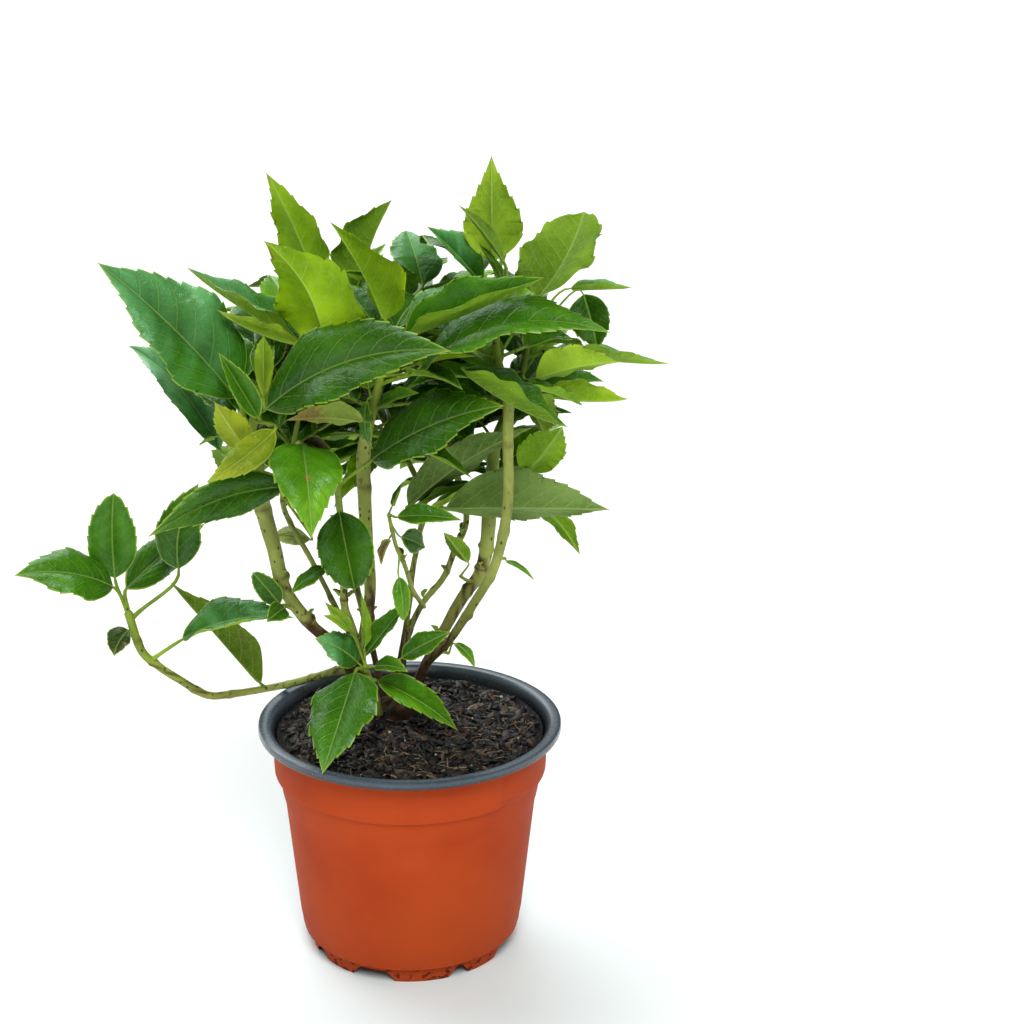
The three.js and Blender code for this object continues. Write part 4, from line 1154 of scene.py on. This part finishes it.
def lining_material(name):
    shader = Shader(name)
    patches = shader.noise(30.0, 3)
    scuffs = shader.noise(500.0, 4, 0.6, (1.0, 1.0, 0.25))
    colour = shader.mix(shader.step(patches, 0.3, 0.7), from_srgb(56, 68, 80), from_srgb(72, 86, 98))
    place = shader.place()
    height = shader.node("ShaderNodeSeparateXYZ", Vector=place).outputs[2]
    # Painted shade: the lining is darker below the rim, down the inner wall inside the pot
    colour = shader.mix(shader.step(height, 0.102, 0.1), colour, from_srgb(34, 40, 47))
    dust = shader.times(shader.step(shader.noise(900.0, 3), 0.68, 0.74), 0.4)
    colour = shader.mix(dust, colour, from_srgb(130, 142, 148))
    normal = shader.bump(scuffs, 0.0001, 0.4)
    rough = shader.plus(shader.times(scuffs, 0.12), 0.2)
    return shader.finish(colour, rough, normal, Specular_IOR_Level=0.55)


def floor_material(name):
    shader = Shader(name)
    grain = shader.noise(3.0, 2)
    place = shader.place()
    reach = shader.node("ShaderNodeVectorMath", {"operation": "LENGTH"}, Vector=place).outputs["Value"]
    far = shader.mix(shader.step(grain, 0.3, 0.7), (0.90, 0.91, 0.90), (0.93, 0.935, 0.93))
    # Painted shadow: the floor is darker and cooler near the pot, fading out between 5 and 20 cm from its
    # middle
    colour = shader.mix(shader.step(reach, 0.05, 0.2), (0.80, 0.90, 0.91), far)
    return shader.finish(colour, 0.8, None, Specular_IOR_Level=0.1)


LEAF_UPPER = leaf_material("leaf_upper", True)
LEAF_UNDER = leaf_material("leaf_under", False)
GREEN_STEM = stem_material("green_stem")
BARK = bark_material("bark")
SOIL = soil_material("potting_soil")
CHIPS = chip_material("bark_chips")
TERRACOTTA = terracotta_material("terracotta_plastic")
LINING = lining_material("grey_lining")


# Every piece rides the one body and replaces the nodes that it stands for
def dress(piece, slot, *nodes):
    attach(piece, "root")
    if nodes:
        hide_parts(*nodes)


# Blades, one piece for each mass, and all stalks in one piece
STALK_COLOUR = from_srgb(126, 152, 52)
STALK_SHAPE = [[0, 0.15, 0.8, 1], [1.5, 1.0, 0.85, 0.3]]
STALK_SIDES = 8
BLADE_SEED = 31
COLOUR_SEED = 900


def worn_share(spots, u, v, length, half):
    share = np.zeros(u.shape)
    for along, across, radius, strength in spots:
        distance = np.hypot((v - along) * length, (2 * u - 1 - across) * half) / radius
        ragged = distance + 0.12 * np.sin(41 * v + 17 * u)
        share = np.maximum(share, strength * (1 - smoothstep(0.6, 1.0, ragged)))
    return share


# Colours of both sides: the tint runs unevenly from the stalk to the tip, under the worn spots
def blade_colours(near, far, back, leaf, spots, blade_map, draw):
    u, v = blade_map[..., 0], blade_map[..., 1]
    ripple = 0.14 * np.sin(9 * v + 5 * u + FULL_TURN * draw())
    ripple = ripple + 0.1 * np.sin(23 * v * (1 + u) + FULL_TURN * draw())
    share = smoothstep(0.1, 0.95, v + ripple)[..., None]
    length, width = leaf[3], leaf[4]
    worn = worn_share(spots, u, v, length, length * width / 2)[..., None]
    top = (near * (1 - share) + far * share) * (1 - worn) + np.array(WORN_COLOUR) * worn
    low = back * (1 - worn) + np.array(WORN_COLOUR) * worn
    return top, low


def add_leaves(grown):
    stalks = Bundle()
    for name in MASSES:
        own = [order for order, leaf in enumerate(grown) if leaf["mass"] == name]
        blades = Bundle()
        for i, order in enumerate(own):
            one = grown[order]
            leaf, length = one["leaf"], one["leaf"][3]
            draw = seeded(COLOUR_SEED + order)
            key = (name, i)
            form = TIP_FORMS.get(key, 0.4 * draw() - 0.25)
            rolled = ROLLED.get(key, (1 if draw() > 0.5 else -1, 0.35 * draw()))
            large = i < len(MASSES[name]["leaves"]) and length > SMALL_LENGTH
            columns = BLADE_ACROSS if large else SMALL_ACROSS
            skins, stalk_way = blade_grids(one["start"], leaf, BLADE_SEED + order, form, rolled, columns)
            shade = 0.9 + 0.2 * draw()
            near, far, back = [np.array(from_srgb(*colour)) * shade for colour in TINTS[one["tint"]]]
            top, low = blade_colours(near, far, back, leaf, WORN.get(key, []), skins[2], draw)
            add_blade(blades, skins, top, low, i, len(own))
            line = stalk_line(one["start"], *stalk_way)
            radii = STALK_RADIUS * leaf_scale(length) * np.interp(np.linspace(0, 1, len(line)), *STALK_SHAPE)
            grid = tube_grid(line, radii, STALK_SIDES)
            mixed = np.array(STALK_COLOUR) * 0.6 + np.array(back) * 0.4
            stalks.add(grid, 0, mixed, tube_maps(grid, order, len(grown)), closed=True)
        piece = blades.piece("leaves_" + name, [LEAF_UPPER, LEAF_UNDER])
        dress(piece, "foliage", name)
    piece = stalks.piece("leaf_stalks", [GREEN_STEM])
    dress(piece, "foliage")


# Stems: every course runs on through the twig that it carries, with swollen nodes and a brown foot. The
# upright ones are slimmer low down than their solids, and brown up to a greater height than the shoots.
STEM_LINES = {
    "stem_left": "crown_left", "stem_centre": "crown_front", "stem_right": "crown_right",
    "stem_right_inner": "crown_far_right", "stem_back": "crown_back", "stem_back_thin": "crown_back_left",
    "stem_left_inner": "crown_inner", "stem_rear": "crown_rear", "arching_shoot": "low_shoot",
    "front_stub": "front_shoot", "slender_shoot": "inner_shoot",
}
LONE_TWIGS = ["basal_rosette", "left_sprig", "right_sprig", "foot_sprig", "right_twiglet"]
STEM_PALE = from_srgb(154, 166, 84)
STEM_GREEN = from_srgb(126, 150, 48)
STEM_BROWN = from_srgb(74, 52, 32)
STEM_SLIM = [0.72, 0.92]
SHOOT_SLIM = [0.98, 0.94]
STEM_WOODY = (110, 166)
SHOOT_WOODY = (60, 90)
SLIM_SPAN = [110, 210]
AGED_SPAN = [150, 240]
GREEN_SPAN = [0.55, 0.95]
NODE_SPACING = 19
NODE_REACH = 1.5
SCAR_REACH = 0.8
RING_STEP = 0.9
STEM_SIDES = 20
STEM_SEED = 40
TWIG_SEED = 80
THICK_TIPS = {"low_shoot": 1.9}

# Brown, barky patches on the stems, each as the height of its middle and its half height
SCABS = {
    "stem_right": [[240, 6]], "stem_right_inner": [[163, 2.4], [152, 2.8]],
    "stem_left": [[160, 1.8], [137, 4]], "stem_centre": [[148, 2.4]], "stem_back": [[166, 2.4]],
}


# Nodes up a stem: how far along each is, how swollen, and how scarred
def node_walks(length, seed):
    draw = seeded(seed)
    walks = []
    node = 9 + 8 * draw()
    while node < length - 4:
        walks.append([node, 0.5 + 0.5 * draw(), draw()])
        node += NODE_SPACING * (0.6 + 0.8 * draw())
    return walks


def course_length(course):
    return np.sum(np.linalg.norm(np.diff(np.array(course, float), axis=0), axis=1))


# Rings and colours of one stem, closed at its foot and tip
def stem_grid(course, radii_table, seed, upright, scabs=()):
    draw = seeded(seed)
    length = course_length(course)
    rows = max(12, int(length / RING_STEP))
    shares = np.linspace(0, 1, rows)
    line = course_point(course, shares)
    radii = np.interp(shares, radii_table[0], radii_table[1])
    walked = shares * length
    height = line[:, 2:3]
    angles = np.arange(STEM_SIDES) * 2 * math.pi / STEM_SIDES
    rings = np.zeros((rows, STEM_SIDES))
    scars = np.zeros((rows, STEM_SIDES))
    for node, swell, scar in node_walks(length, seed):
        off = walked[:, None] - node + 0.7 * np.sin(angles + FULL_TURN * scar)[None]
        facing = 0.55 + 0.45 * np.cos(angles + 2 * FULL_TURN * scar)[None]
        rings = np.maximum(rings, np.exp(-(off / NODE_REACH) ** 2) * swell * facing)
        worn = np.exp(-((off - SCAR_REACH) / SCAR_REACH) ** 2) * (0.3 + 0.7 * scar) * facing
        scars = np.maximum(scars, worn)
    for middle, reach in scabs:
        ragged = middle + 0.7 * reach * np.sin(2 * angles + 5 * np.cos(angles))[None]
        cover = 0.5 + 0.35 * np.sin(angles + middle)[None]
        scars = np.maximum(scars, cover * np.exp(-((height - ragged) / reach) ** 4))
    noise = np.zeros((rows, STEM_SIDES))
    for k in range(1, 5):
        phase, pace = FULL_TURN * draw(), 0.05 + 0.12 * draw()
        noise += np.sin(k * angles[None, :] + walked[:, None] * pace * k + phase) / (k + 1)
    woody = 1 - smoothstep(*(STEM_WOODY if upright else SHOOT_WOODY), height)
    slim = between(STEM_SLIM if upright else SHOOT_SLIM, smoothstep(*SLIM_SPAN, height))
    low = 1 - smoothstep(*AGED_SPAN, height)
    relief = slim + (0.025 + 0.075 * woody) * noise + (0.2 + 0.2 * low) * rings
    grid = tube_grid(line, radii[:, None] * relief, STEM_SIDES)
    blotches = noise + 0.4 * np.sin(0.9 * walked[:, None] + 3 * angles[None]) - 0.35
    patch = np.clip(1.5 * blotches, 0, 1) * 0.8 * low
    brown = np.clip(woody + scars * (0.6 + 0.6 * low) + patch, 0, 1)[..., None]
    upper = smoothstep(*GREEN_SPAN, shares)[:, None, None]
    colours = np.array(STEM_PALE) * (1 - upper) + np.array(STEM_GREEN) * upper
    colours = colours * (1 - brown) + np.array(STEM_BROWN) * brown
    return capped(grid), np.vstack([colours[:1], colours, colours[-1:], colours[-1:]])


def capped(grid):
    tip = grid[-1].mean(0)
    foot = grid[0].mean(0)
    shoulder = tip + (grid[-1] - tip) * 0.55 + (tip - grid[-2].mean(0)) * 0.8
    end = np.stack([shoulder, np.broadcast_to(tip, grid[-1].shape)])
    return np.vstack([np.broadcast_to(foot, grid[0].shape)[None], grid, end])


def add_stems():
    bundle = Bundle()
    total = len(STEM_LINES) + len(LONE_TWIGS)
    lines = []
    for i, (stem, twig) in enumerate(STEM_LINES.items()):
        first, second = STEMS[stem], MASSES[twig]
        course = first["course"] + second["course"][1:]
        turn = (len(first["course"]) - 1) / (len(course) - 1)
        middle = (first["radius"][1] + second["radius"][0]) / 2
        radii = [[0, turn, 1], [first["radius"][0], middle, THICK_TIPS.get(twig, second["radius"][1])]]
        lines.append(stem_grid(course, radii, STEM_SEED + i, is_upright(first), SCABS.get(stem, ())))
    for i, twig in enumerate(LONE_TWIGS):
        course, radius = MASSES[twig]["course"], MASSES[twig]["radius"]
        lines.append(stem_grid(course, [[0, 1], radius], TWIG_SEED + i, False))
    for i, (grid, colours) in enumerate(lines):
        bundle.add(grid, 0, colours, tube_maps(grid, i, total), closed=True)
    piece = bundle.piece("stems", [GREEN_STEM])
    dress(piece, "green_stem", *STEM_LINES)


# Small buds and bracts in pairs at the scarred nodes of the lower stems
BUD_LENGTH = [2.2, 5.5]
BUD_ROOM = [118, 215]
BUD_SCAR = 0.55
BUD_SEED = 700
BUD_CLIMB = 48
BUD_WIDTH = 0.62
BUD_STALK = 2.2
BUD_DROOP = 30
BUD_FOLD = 34


def add_buds():
    buds = Bundle()
    rows = []
    for i, (stem, twig) in enumerate(STEM_LINES.items()):
        course = STEMS[stem]["course"] + MASSES[twig]["course"][1:]
        length = course_length(course)
        for node, swell, scar in node_walks(length, STEM_SEED + i):
            centre = course_point(course, node / length)
            if scar > BUD_SCAR and BUD_ROOM[0] < centre[2] < BUD_ROOM[1]:
                rows += [(centre, 360 * swell * 7 + turn, between(BUD_LENGTH, scar)) for turn in (0, 180)]
    for k, (centre, heading, size) in enumerate(rows):
        leaf = [0, heading, BUD_CLIMB, size, BUD_WIDTH, BUD_STALK, BUD_DROOP, 0, BUD_FOLD, 0, 0]
        skins, _ = blade_grids(centre, leaf, BUD_SEED + k, 0.0, (1, 0.2), SMALL_ACROSS)
        _, far, back = [from_srgb(*colour) for colour in TINTS["fresh" if k % 3 else "brown"]]
        add_blade(buds, skins, far, back, k, len(rows))
    piece = buds.piece("stem_buds", [LEAF_UPPER, LEAF_UNDER])
    dress(piece, "foliage")


# Root crown: a lumpy mound with a foot that sinks into the soil
def add_root_crown():
    angles = np.arange(64) * 2 * math.pi / 64
    profile = [[1.25, -0.6], [1.12, 0.0], [1.0, 0.12], [0.9, 0.5], [0.66, 0.78], [0.36, 0.95], [0.0, 1.0]]
    shares = np.linspace(0, len(profile) - 1, 30)
    table = np.array(profile)
    out = np.interp(shares, range(len(profile)), table[:, 0])
    rise = np.interp(shares, range(len(profile)), table[:, 1])
    knots = 1 + 0.09 * np.sin(5 * angles + 0.6) + 0.05 * np.sin(11 * angles + 2) + 0.03 * np.sin(23 * angles)
    out, rise = out[:, None], rise[:, None]
    grid = np.stack([
        CROWN_SPOT[0] + CROWN_RADIUS * out * knots * np.cos(angles),
        CROWN_SPOT[1] + CROWN_RADIUS * out * knots * np.sin(angles),
        CROWN_FOOT + CROWN_HEIGHT * rise * (0.9 + 0.1 * knots) + 0.5 * np.sin(7 * angles) * (out < 1),
    ], -1)
    bundle = Bundle()
    bundle.add(grid, 0, STEM_BROWN, tube_maps(grid, 0, 1), closed=True)
    piece = bundle.piece("woody_base", [BARK])
    dress(piece, "woody_base", "root_crown")


# Pot: one turned wall, cut with the notches of its foot ring and with its drain holes
def pot_profile():
    outside = FOOT_OUTSIDE + SEAM + WALL_OUTSIDE + RIM_UNDER
    inner = [[radius - POT_WALL, height] for radius, height in reversed(WALL_OUTSIDE[:-3])]
    inside = inner + [[FOOT_OUTSIDE[-1][0] - POT_WALL, FLOOR_TOP], [PAD_RADIUS + 2, FLOOR_TOP],
        [PAD_RADIUS - 1.2, PAD_TOP], [0.01, PAD_TOP]]
    foot = [[0.01, 0], [PAD_RADIUS, 0], [PAD_RADIUS + 3, FLOOR_UNDERSIDE],
        [FOOT_INNER_RADIUS - 0.8, FLOOR_UNDERSIDE], [FOOT_INNER_RADIUS, 0]]
    terracotta = foot + outside
    return np.array(terracotta + RIM_TOP + LINING_TOP + inside), len(terracotta)


# Splits long stretches of the profile, and tells the terracotta part (0) from the lining (1)
def refine(profile, split, longest):
    rows, kinds = [profile[0]], [0]
    for i in range(len(profile) - 1):
        gap = np.linalg.norm(profile[i + 1] - profile[i])
        pieces = max(1, math.ceil(gap / longest))
        for k in range(1, pieces + 1):
            rows.append(profile[i] + (profile[i + 1] - profile[i]) * k / pieces)
            kinds.append(0 if i + 1 < split else 1)
    return np.array(rows), np.array(kinds)


# One mesh of closed blocks that the pot is cut with
def cutter(name, parts):
    mesh = bpy.data.meshes.new(name)
    shape = bmesh.new()
    for points, faces in parts:
        corners = [shape.verts.new(Vector(point) * MM) for point in points]
        for face in faces:
            shape.faces.new([corners[k] for k in face])
    bmesh.ops.recalc_face_normals(shape, faces=shape.faces)
    shape.to_mesh(mesh)
    shape.free()
    piece = bpy.data.objects.new(name, mesh)
    bpy.context.scene.collection.objects.link(piece)
    return piece


def prism(outline, low, high, turn, along):
    count = len(outline)
    corners = []
    angle = math.radians(turn)
    for level in (low, high):
        for a, b in outline:
            x, y, z = (a, level, b) if along == "out" else (a, b, level)
            turned = x * math.cos(angle) - y * math.sin(angle), x * math.sin(angle) + y * math.cos(angle)
            corners.append((*turned, z))
    faces = [list(range(count)), list(range(2 * count - 1, count - 1, -1))]
    faces += [[k, (k + 1) % count, count + (k + 1) % count, count + k] for k in range(count)]
    return corners, faces


# How far the outer wall keeps outside the lining, the longest step of its profile, the radii that count as
# the outer wall, the heights where it goes out of true, the reach of the ledge's jump, and the sharp edges
LINING_COVER = 0.4
POT_ROW = 2.2
WALL_ROOM = [45, 59.4]
SAG_SPAN = [20, 95]
LEDGE_REACH = 6
SHARP_ANGLE = 38


def degrees_from(degrees, turn):
    return np.mod(degrees - turn + 180, 360) - 180


# The turned wall with its crease, its sag and the ledge that jumps up
def pot_grid(rows, kinds):
    angles = np.arange(POT_TURNS) * 2 * math.pi / POT_TURNS
    degrees = np.degrees(angles)[None] + 90
    radius, height = rows[:, 0:1], rows[:, 1:2]
    outer = (kinds[:, None] == 0) * (radius > WALL_ROOM[0]) * (radius < WALL_ROOM[1])
    off = degrees_from(degrees, CREASE["turn"]) / CREASE["wide"]
    lift = (height - CREASE["height"]) / CREASE["tall"]
    crease = CREASE["deep"] * np.exp(-(off ** 2)) * np.exp(-(lift ** 4)) * outer
    sag = 0.22 * np.sin(2 * angles + 0.7)[None] + 0.12 * np.sin(3 * angles + 2.1)[None]
    formed = radius - crease + sag * smoothstep(*SAG_SPAN, height) * (radius > 40) * (height < 99)
    off = degrees_from(degrees, LEDGE["turn"])
    raised = np.exp(-((off / np.where(off < 0, LEDGE["sharp"], LEDGE["soft"])) ** 2))
    raised = raised * LEDGE["raised"] * np.exp(-(((height - LEDGE["height"]) / LEDGE_REACH) ** 2)) * outer
    walls = np.array(WALL_OUTSIDE)
    least = np.interp(height + raised, walls[:, 1], walls[:, 0]) - POT_WALL + LINING_COVER
    formed = np.where(outer > 0, np.maximum(formed, least), formed)
    return np.stack([formed * np.cos(angles), formed * np.sin(angles), height + raised], -1)


# Notches through the foot ring and holes through the floor, the same in each quarter
def pot_cuts():
    parts = []
    foot = -FOOT_OUTSIDE[0][0]
    radius, ring = DRAIN_HOLE["radius"], DRAIN_HOLE["ring"]
    around = np.arange(24) * 2 * math.pi / 24
    hole = [(radius * math.cos(a), radius * math.sin(a) - ring) for a in around]
    for quarter in QUARTERS:
        for notch in (DRAIN_NOTCH, VENT_NOTCH):
            outline = [(x, z) for x, z in notch["outline"]] + [(-x, z) for x, z in reversed(notch["outline"])]
            parts.append(prism(outline, foot - 4.5, foot + 6.5, quarter + notch["turn"], "out"))
        parts.append(prism(hole, FLOOR_TOP - 4, FLOOR_TOP + 4, quarter + DRAIN_HOLE["turn"], "up"))
    return parts


def add_pot():
    profile, split = pot_profile()
    rows, kinds = refine(profile, split, POT_ROW)
    points = pot_grid(rows, kinds).reshape(-1, 3)
    quads = grid_quads(len(rows), POT_TURNS, 0, True)
    pot = make_piece("pot_body", points, quads, [TERRACOTTA, LINING], np.repeat(kinds[1:], POT_TURNS))
    tool = cutter("pot_cuts", pot_cuts())
    change = pot.modifiers.new("cuts", "BOOLEAN")
    change.operation = "DIFFERENCE"
    change.solver = "EXACT"
    change.object = tool
    done = bpy.data.meshes.new_from_object(pot.evaluated_get(bpy.context.evaluated_depsgraph_get()))
    pot.modifiers.clear()
    pot.data = done
    done.polygons.foreach_set("use_smooth", np.full(len(done.polygons), True))
    done.set_sharp_from_angle(angle=math.radians(SHARP_ANGLE))
    bpy.data.objects.remove(tool)
    dress(pot, "pot_plastic", "pot")


# Soil: the solid block stays below a crumbled crust with bark chips, fibres and white grains
CRUST_HOLLOW = 0.9
CRUST_BANK = 1.2


def soil_dip(x, y):
    distance = np.hypot(x - CROWN_SPOT[0], y - CROWN_SPOT[1])
    fade = smoothstep(CROWN_RADIUS + 4, CROWN_RADIUS + 18, distance)
    waves = 0.5 + 0.25 * np.sin(x * 0.19 + 1) + 0.25 * np.sin(y * 0.23 - x * 0.07)
    return CRUST_HOLLOW * fade * waves


def crust_height(x, y):
    bumps = 0.5 * np.sin(x * 0.9 + 2 * np.sin(y * 0.5)) * np.sin(y * 0.8 + 1.3)
    bumps = bumps + 0.35 * np.sin(x * 1.9 - y * 1.3) * np.sin(y * 2.1 + x * 0.4)
    distance = np.hypot(x, y)
    return SOIL_TOP - soil_dip(x, y) + 0.5 + 0.55 * bumps + CRUST_BANK * smoothstep(34, 54, distance)


CHIP_COLOURS = [(18, 14, 12), (30, 21, 16), (52, 35, 25), (10, 9, 9), (20, 15, 13), (92, 72, 54),
    (13, 12, 12), (48, 27, 20), (9, 9, 9), (24, 20, 18), (14, 12, 11), (11, 10, 11)]
FIBRE_COLOUR = from_srgb(156, 132, 104)
GRAIN_COLOUR = from_srgb(205, 205, 198)
CHIP_COUNT = 3300
FIBRE_COUNT = 260
GRAIN_COUNT = 22
CHIP_LENGTHS = [[0.9, 2.4], [2.4, 5.0], [5.0, 10.0]]
CHIP_SHARES = [0.42, 0.4, 0.18]
CHIP_OUTLINE = [[-1, -0.7], [-0.5, -1], [0.6, -0.9], [1, -0.2], [0.8, 0.8], [-0.2, 1], [-0.9, 0.5]]
CHIP_WIDEST = 4.2
CHIP_THICKEST = 1.1
FIBRE_POINTS = 7
GRAIN_ROWS = 6
GRAIN_SIDES = 8


def scattered_spot(random, margin):
    distance = (SOIL_EDGE - margin) * math.sqrt(random.random())
    turn = 2 * math.pi * random.random()
    return np.array([distance * math.cos(turn), distance * math.sin(turn)])


def tilted(random):
    heading, pitch, roll = random.uniform(0, FULL_TURN), random.normal(0, 0.35), random.normal(0, 0.6)
    turned = Matrix.Rotation(heading, 3, "Z") @ Matrix.Rotation(pitch, 3, "Y") @ Matrix.Rotation(roll, 3, "X")
    return np.array(turned)


def bark_chips(random):
    for _ in range(CHIP_COUNT):
        spot = scattered_spot(random, 2.2)
        if np.hypot(*(spot - np.array(CROWN_SPOT))) < CROWN_RADIUS - 2:
            continue
        length = random.choice([random.uniform(*span) for span in CHIP_LENGTHS], p=CHIP_SHARES)
        wide = min(length * random.uniform(0.25, 0.9), CHIP_WIDEST)
        thick = min(wide * random.uniform(0.15, 0.45), CHIP_THICKEST)
        turned = tilted(random)
        corners = np.array(CHIP_OUTLINE) * random.uniform(0.55, 1.2, (len(CHIP_OUTLINE), 2))
        flat = corners * [length / 2, wide / 2]
        levels = [(-0.5, 0.86), (0, 1), (0.5, 0.84), (0.6, 0.05)]
        rings = [np.insert(flat * share, 2, thick * level, axis=1) for level, share in levels]
        centre = np.array([*spot, crust_height(*spot) + random.uniform(-0.2, 0.75) * max(thick, 0.5)])
        placed = np.array(rings) @ turned.T + centre
        if np.hypot(placed[..., 0], placed[..., 1]).max() > SOIL_EDGE:
            continue
        colour = CHIP_COLOURS[random.integers(len(CHIP_COLOURS))]
        yield placed, np.array(from_srgb(*colour)) * random.uniform(0.7, 1.2)


def fibres(random):
    for _ in range(FIBRE_COUNT):
        spot = scattered_spot(random, 6)
        heading = random.uniform(0, FULL_TURN)
        steps = np.linspace(0, random.uniform(4, 11), FIBRE_POINTS)
        bend = heading + random.uniform(-0.14, 0.14) * steps
        walk = np.cumsum(np.column_stack([np.cos(bend), np.sin(bend)]) * (steps[1] - steps[0]), 0) + spot
        if np.hypot(*walk.T).max() > SOIL_EDGE - 1:
            continue
        arch = random.uniform(0, 0.8) * np.sin(np.linspace(0, 3, FIBRE_POINTS))
        rise = crust_height(walk[:, 0], walk[:, 1]) + 0.5 + arch
        radii = np.full(FIBRE_POINTS, random.uniform(0.12, 0.3))
        grid = tube_grid(np.column_stack([walk, rise]), radii, 5)
        yield grid, np.array(FIBRE_COLOUR) * random.uniform(0.4, 1.2)


def white_grains(random):
    for _ in range(GRAIN_COUNT):
        spot = scattered_spot(random, 5)
        size = random.uniform(0.45, 0.95)
        rise = np.linspace(-1, 1, GRAIN_ROWS)
        around = np.arange(GRAIN_SIDES) * 2 * math.pi / GRAIN_SIDES
        lumps = random.uniform(0.8, 1.15, (GRAIN_ROWS, GRAIN_SIDES))
        out = np.sqrt(np.clip(1 - rise ** 2, 0.001, 1))[:, None] * size * lumps
        height = np.broadcast_to(crust_height(*spot) + 0.6 + size * rise[:, None], out.shape)
        grid = np.stack([spot[0] + out * np.cos(around), spot[1] + out * np.sin(around), height], -1)
        yield grid, np.array(GRAIN_COLOUR) * random.uniform(0.7, 1)


def add_crust():
    radii = np.linspace(0.01, SOIL_EDGE, 90)
    angles = np.arange(240) * 2 * math.pi / 240
    x, y = radii[:, None] * np.cos(angles), radii[:, None] * np.sin(angles)
    grid = np.stack([x, y, crust_height(x, y)], -1)
    bundle = Bundle()
    bundle.add(grid, 0, (0.02, 0.015, 0.01), tube_maps(grid, 0, 1), closed=True)
    crust = bundle.piece("soil_crust", [SOIL])
    dress(crust, "potting_soil")


def add_soil():
    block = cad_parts["soil"].data
    block.materials.clear()
    block.materials.append(SOIL)
    add_crust()
    random = np.random.default_rng(7)
    bits = Bundle()
    total = CHIP_COUNT + FIBRE_COUNT + GRAIN_COUNT
    scattered = [*bark_chips(random), *fibres(random), *white_grains(random)]
    for cell, (grid, colour) in enumerate(scattered):
        bits.add(grid, 0, colour, tube_maps(grid, cell, total), closed=True)
    piece = bits.piece("soil_chips", [CHIPS])
    dress(piece, "potting_soil")


# The photograph's viewing angle, worked out from the round rims of the pot
CAMERA_PLACE = (42.96, -785, 450.2)
CAMERA_PITCH = 17.906
CAMERA_ROLL = 0.553
FOCAL_PIXELS = 1983
FRAME_PIXELS = 1024
SENSOR = 36


def add_camera():
    lens = bpy.data.cameras.new("camera")
    lens.sensor_width = SENSOR
    lens.lens = FOCAL_PIXELS / FRAME_PIXELS * SENSOR
    lens.clip_end = 200
    camera = bpy.data.objects.new("camera", lens)
    pitch, roll = math.radians(CAMERA_PITCH), math.radians(CAMERA_ROLL)
    ahead = Vector((0, math.cos(pitch), -math.sin(pitch)))
    level = Vector((1, 0, 0))
    upright = level.cross(ahead)
    right = level * math.cos(roll) + upright * math.sin(roll)
    up = upright * math.cos(roll) - level * math.sin(roll)
    turned = Matrix((right, up, -ahead)).transposed().to_4x4()
    camera.matrix_world = Matrix.Translation(Vector(CAMERA_PLACE) * MM) @ turned
    bpy.context.scene.collection.objects.link(camera)
    bpy.context.scene.camera = camera


# A wide bright panel up behind the plant, dim surroundings elsewhere and a soft lamp from the front
PANEL_WAY = (-0.33, 0.55, 0.77)
PANEL_COSINE = [0.78, 0.95]
PANEL_STRENGTH = 4.0
DIM_STRENGTH = 0.22
PANEL_COLOUR = (0.95, 0.99, 1.0, 1)
LAMP_STRENGTH = 2.3
LAMP_ANGLE = 30
LAMP_COLOUR = (1.0, 0.99, 0.96)
LAMP_WAY = (-0.12, 0.62, -0.78)
FLOOR_REACH = 30


def add_stage():
    world = bpy.data.worlds.new("studio")
    world.use_nodes = True
    tree = world.node_tree
    sky = tree.nodes["Background"]
    way = tree.nodes.new("ShaderNodeTexCoord").outputs["Generated"]
    cosine = tree.nodes.new("ShaderNodeVectorMath")
    cosine.operation = "DOT_PRODUCT"
    cosine.inputs[1].default_value = Vector(PANEL_WAY).normalized()
    tree.links.new(way, cosine.inputs[0])
    strength = tree.nodes.new("ShaderNodeMapRange")
    strength.interpolation_type = "SMOOTHSTEP"
    strength.inputs["From Min"].default_value, strength.inputs["From Max"].default_value = PANEL_COSINE
    strength.inputs["To Min"].default_value = DIM_STRENGTH
    strength.inputs["To Max"].default_value = PANEL_STRENGTH
    tree.links.new(cosine.outputs["Value"], strength.inputs["Value"])
    tree.links.new(strength.outputs["Result"], sky.inputs["Strength"])
    sky.inputs["Color"].default_value = PANEL_COLOUR
    bpy.context.scene.world = world
    sun = bpy.data.lights.new("sun", "SUN")
    sun.energy = LAMP_STRENGTH
    sun.angle = math.radians(LAMP_ANGLE)
    sun.color = LAMP_COLOUR
    lamp = bpy.data.objects.new("sun", sun)
    lamp.rotation_euler = Vector(LAMP_WAY).to_track_quat("-Z", "Y").to_euler()
    bpy.context.scene.collection.objects.link(lamp)
    corners = [(FLOOR_REACH * x, FLOOR_REACH * y, 0) for x, y in ((-1, -1), (1, -1), (1, 1), (-1, 1))]
    mesh = bpy.data.meshes.new("floor")
    mesh.from_pydata(corners, [], [(0, 1, 2, 3)])
    mesh.materials.append(floor_material("floor_white"))
    floor = bpy.data.objects.new("floor", mesh)
    bpy.context.scene.collection.objects.link(floor)
    bpy.context.scene.view_settings.view_transform = "Standard"
    bpy.context.scene.view_settings.look = "None"


add_camera()
add_stage()
add_pot()
add_soil()
add_root_crown()
add_stems()
add_buds()
add_leaves(grow_all())

bpy.context.view_layer.update()
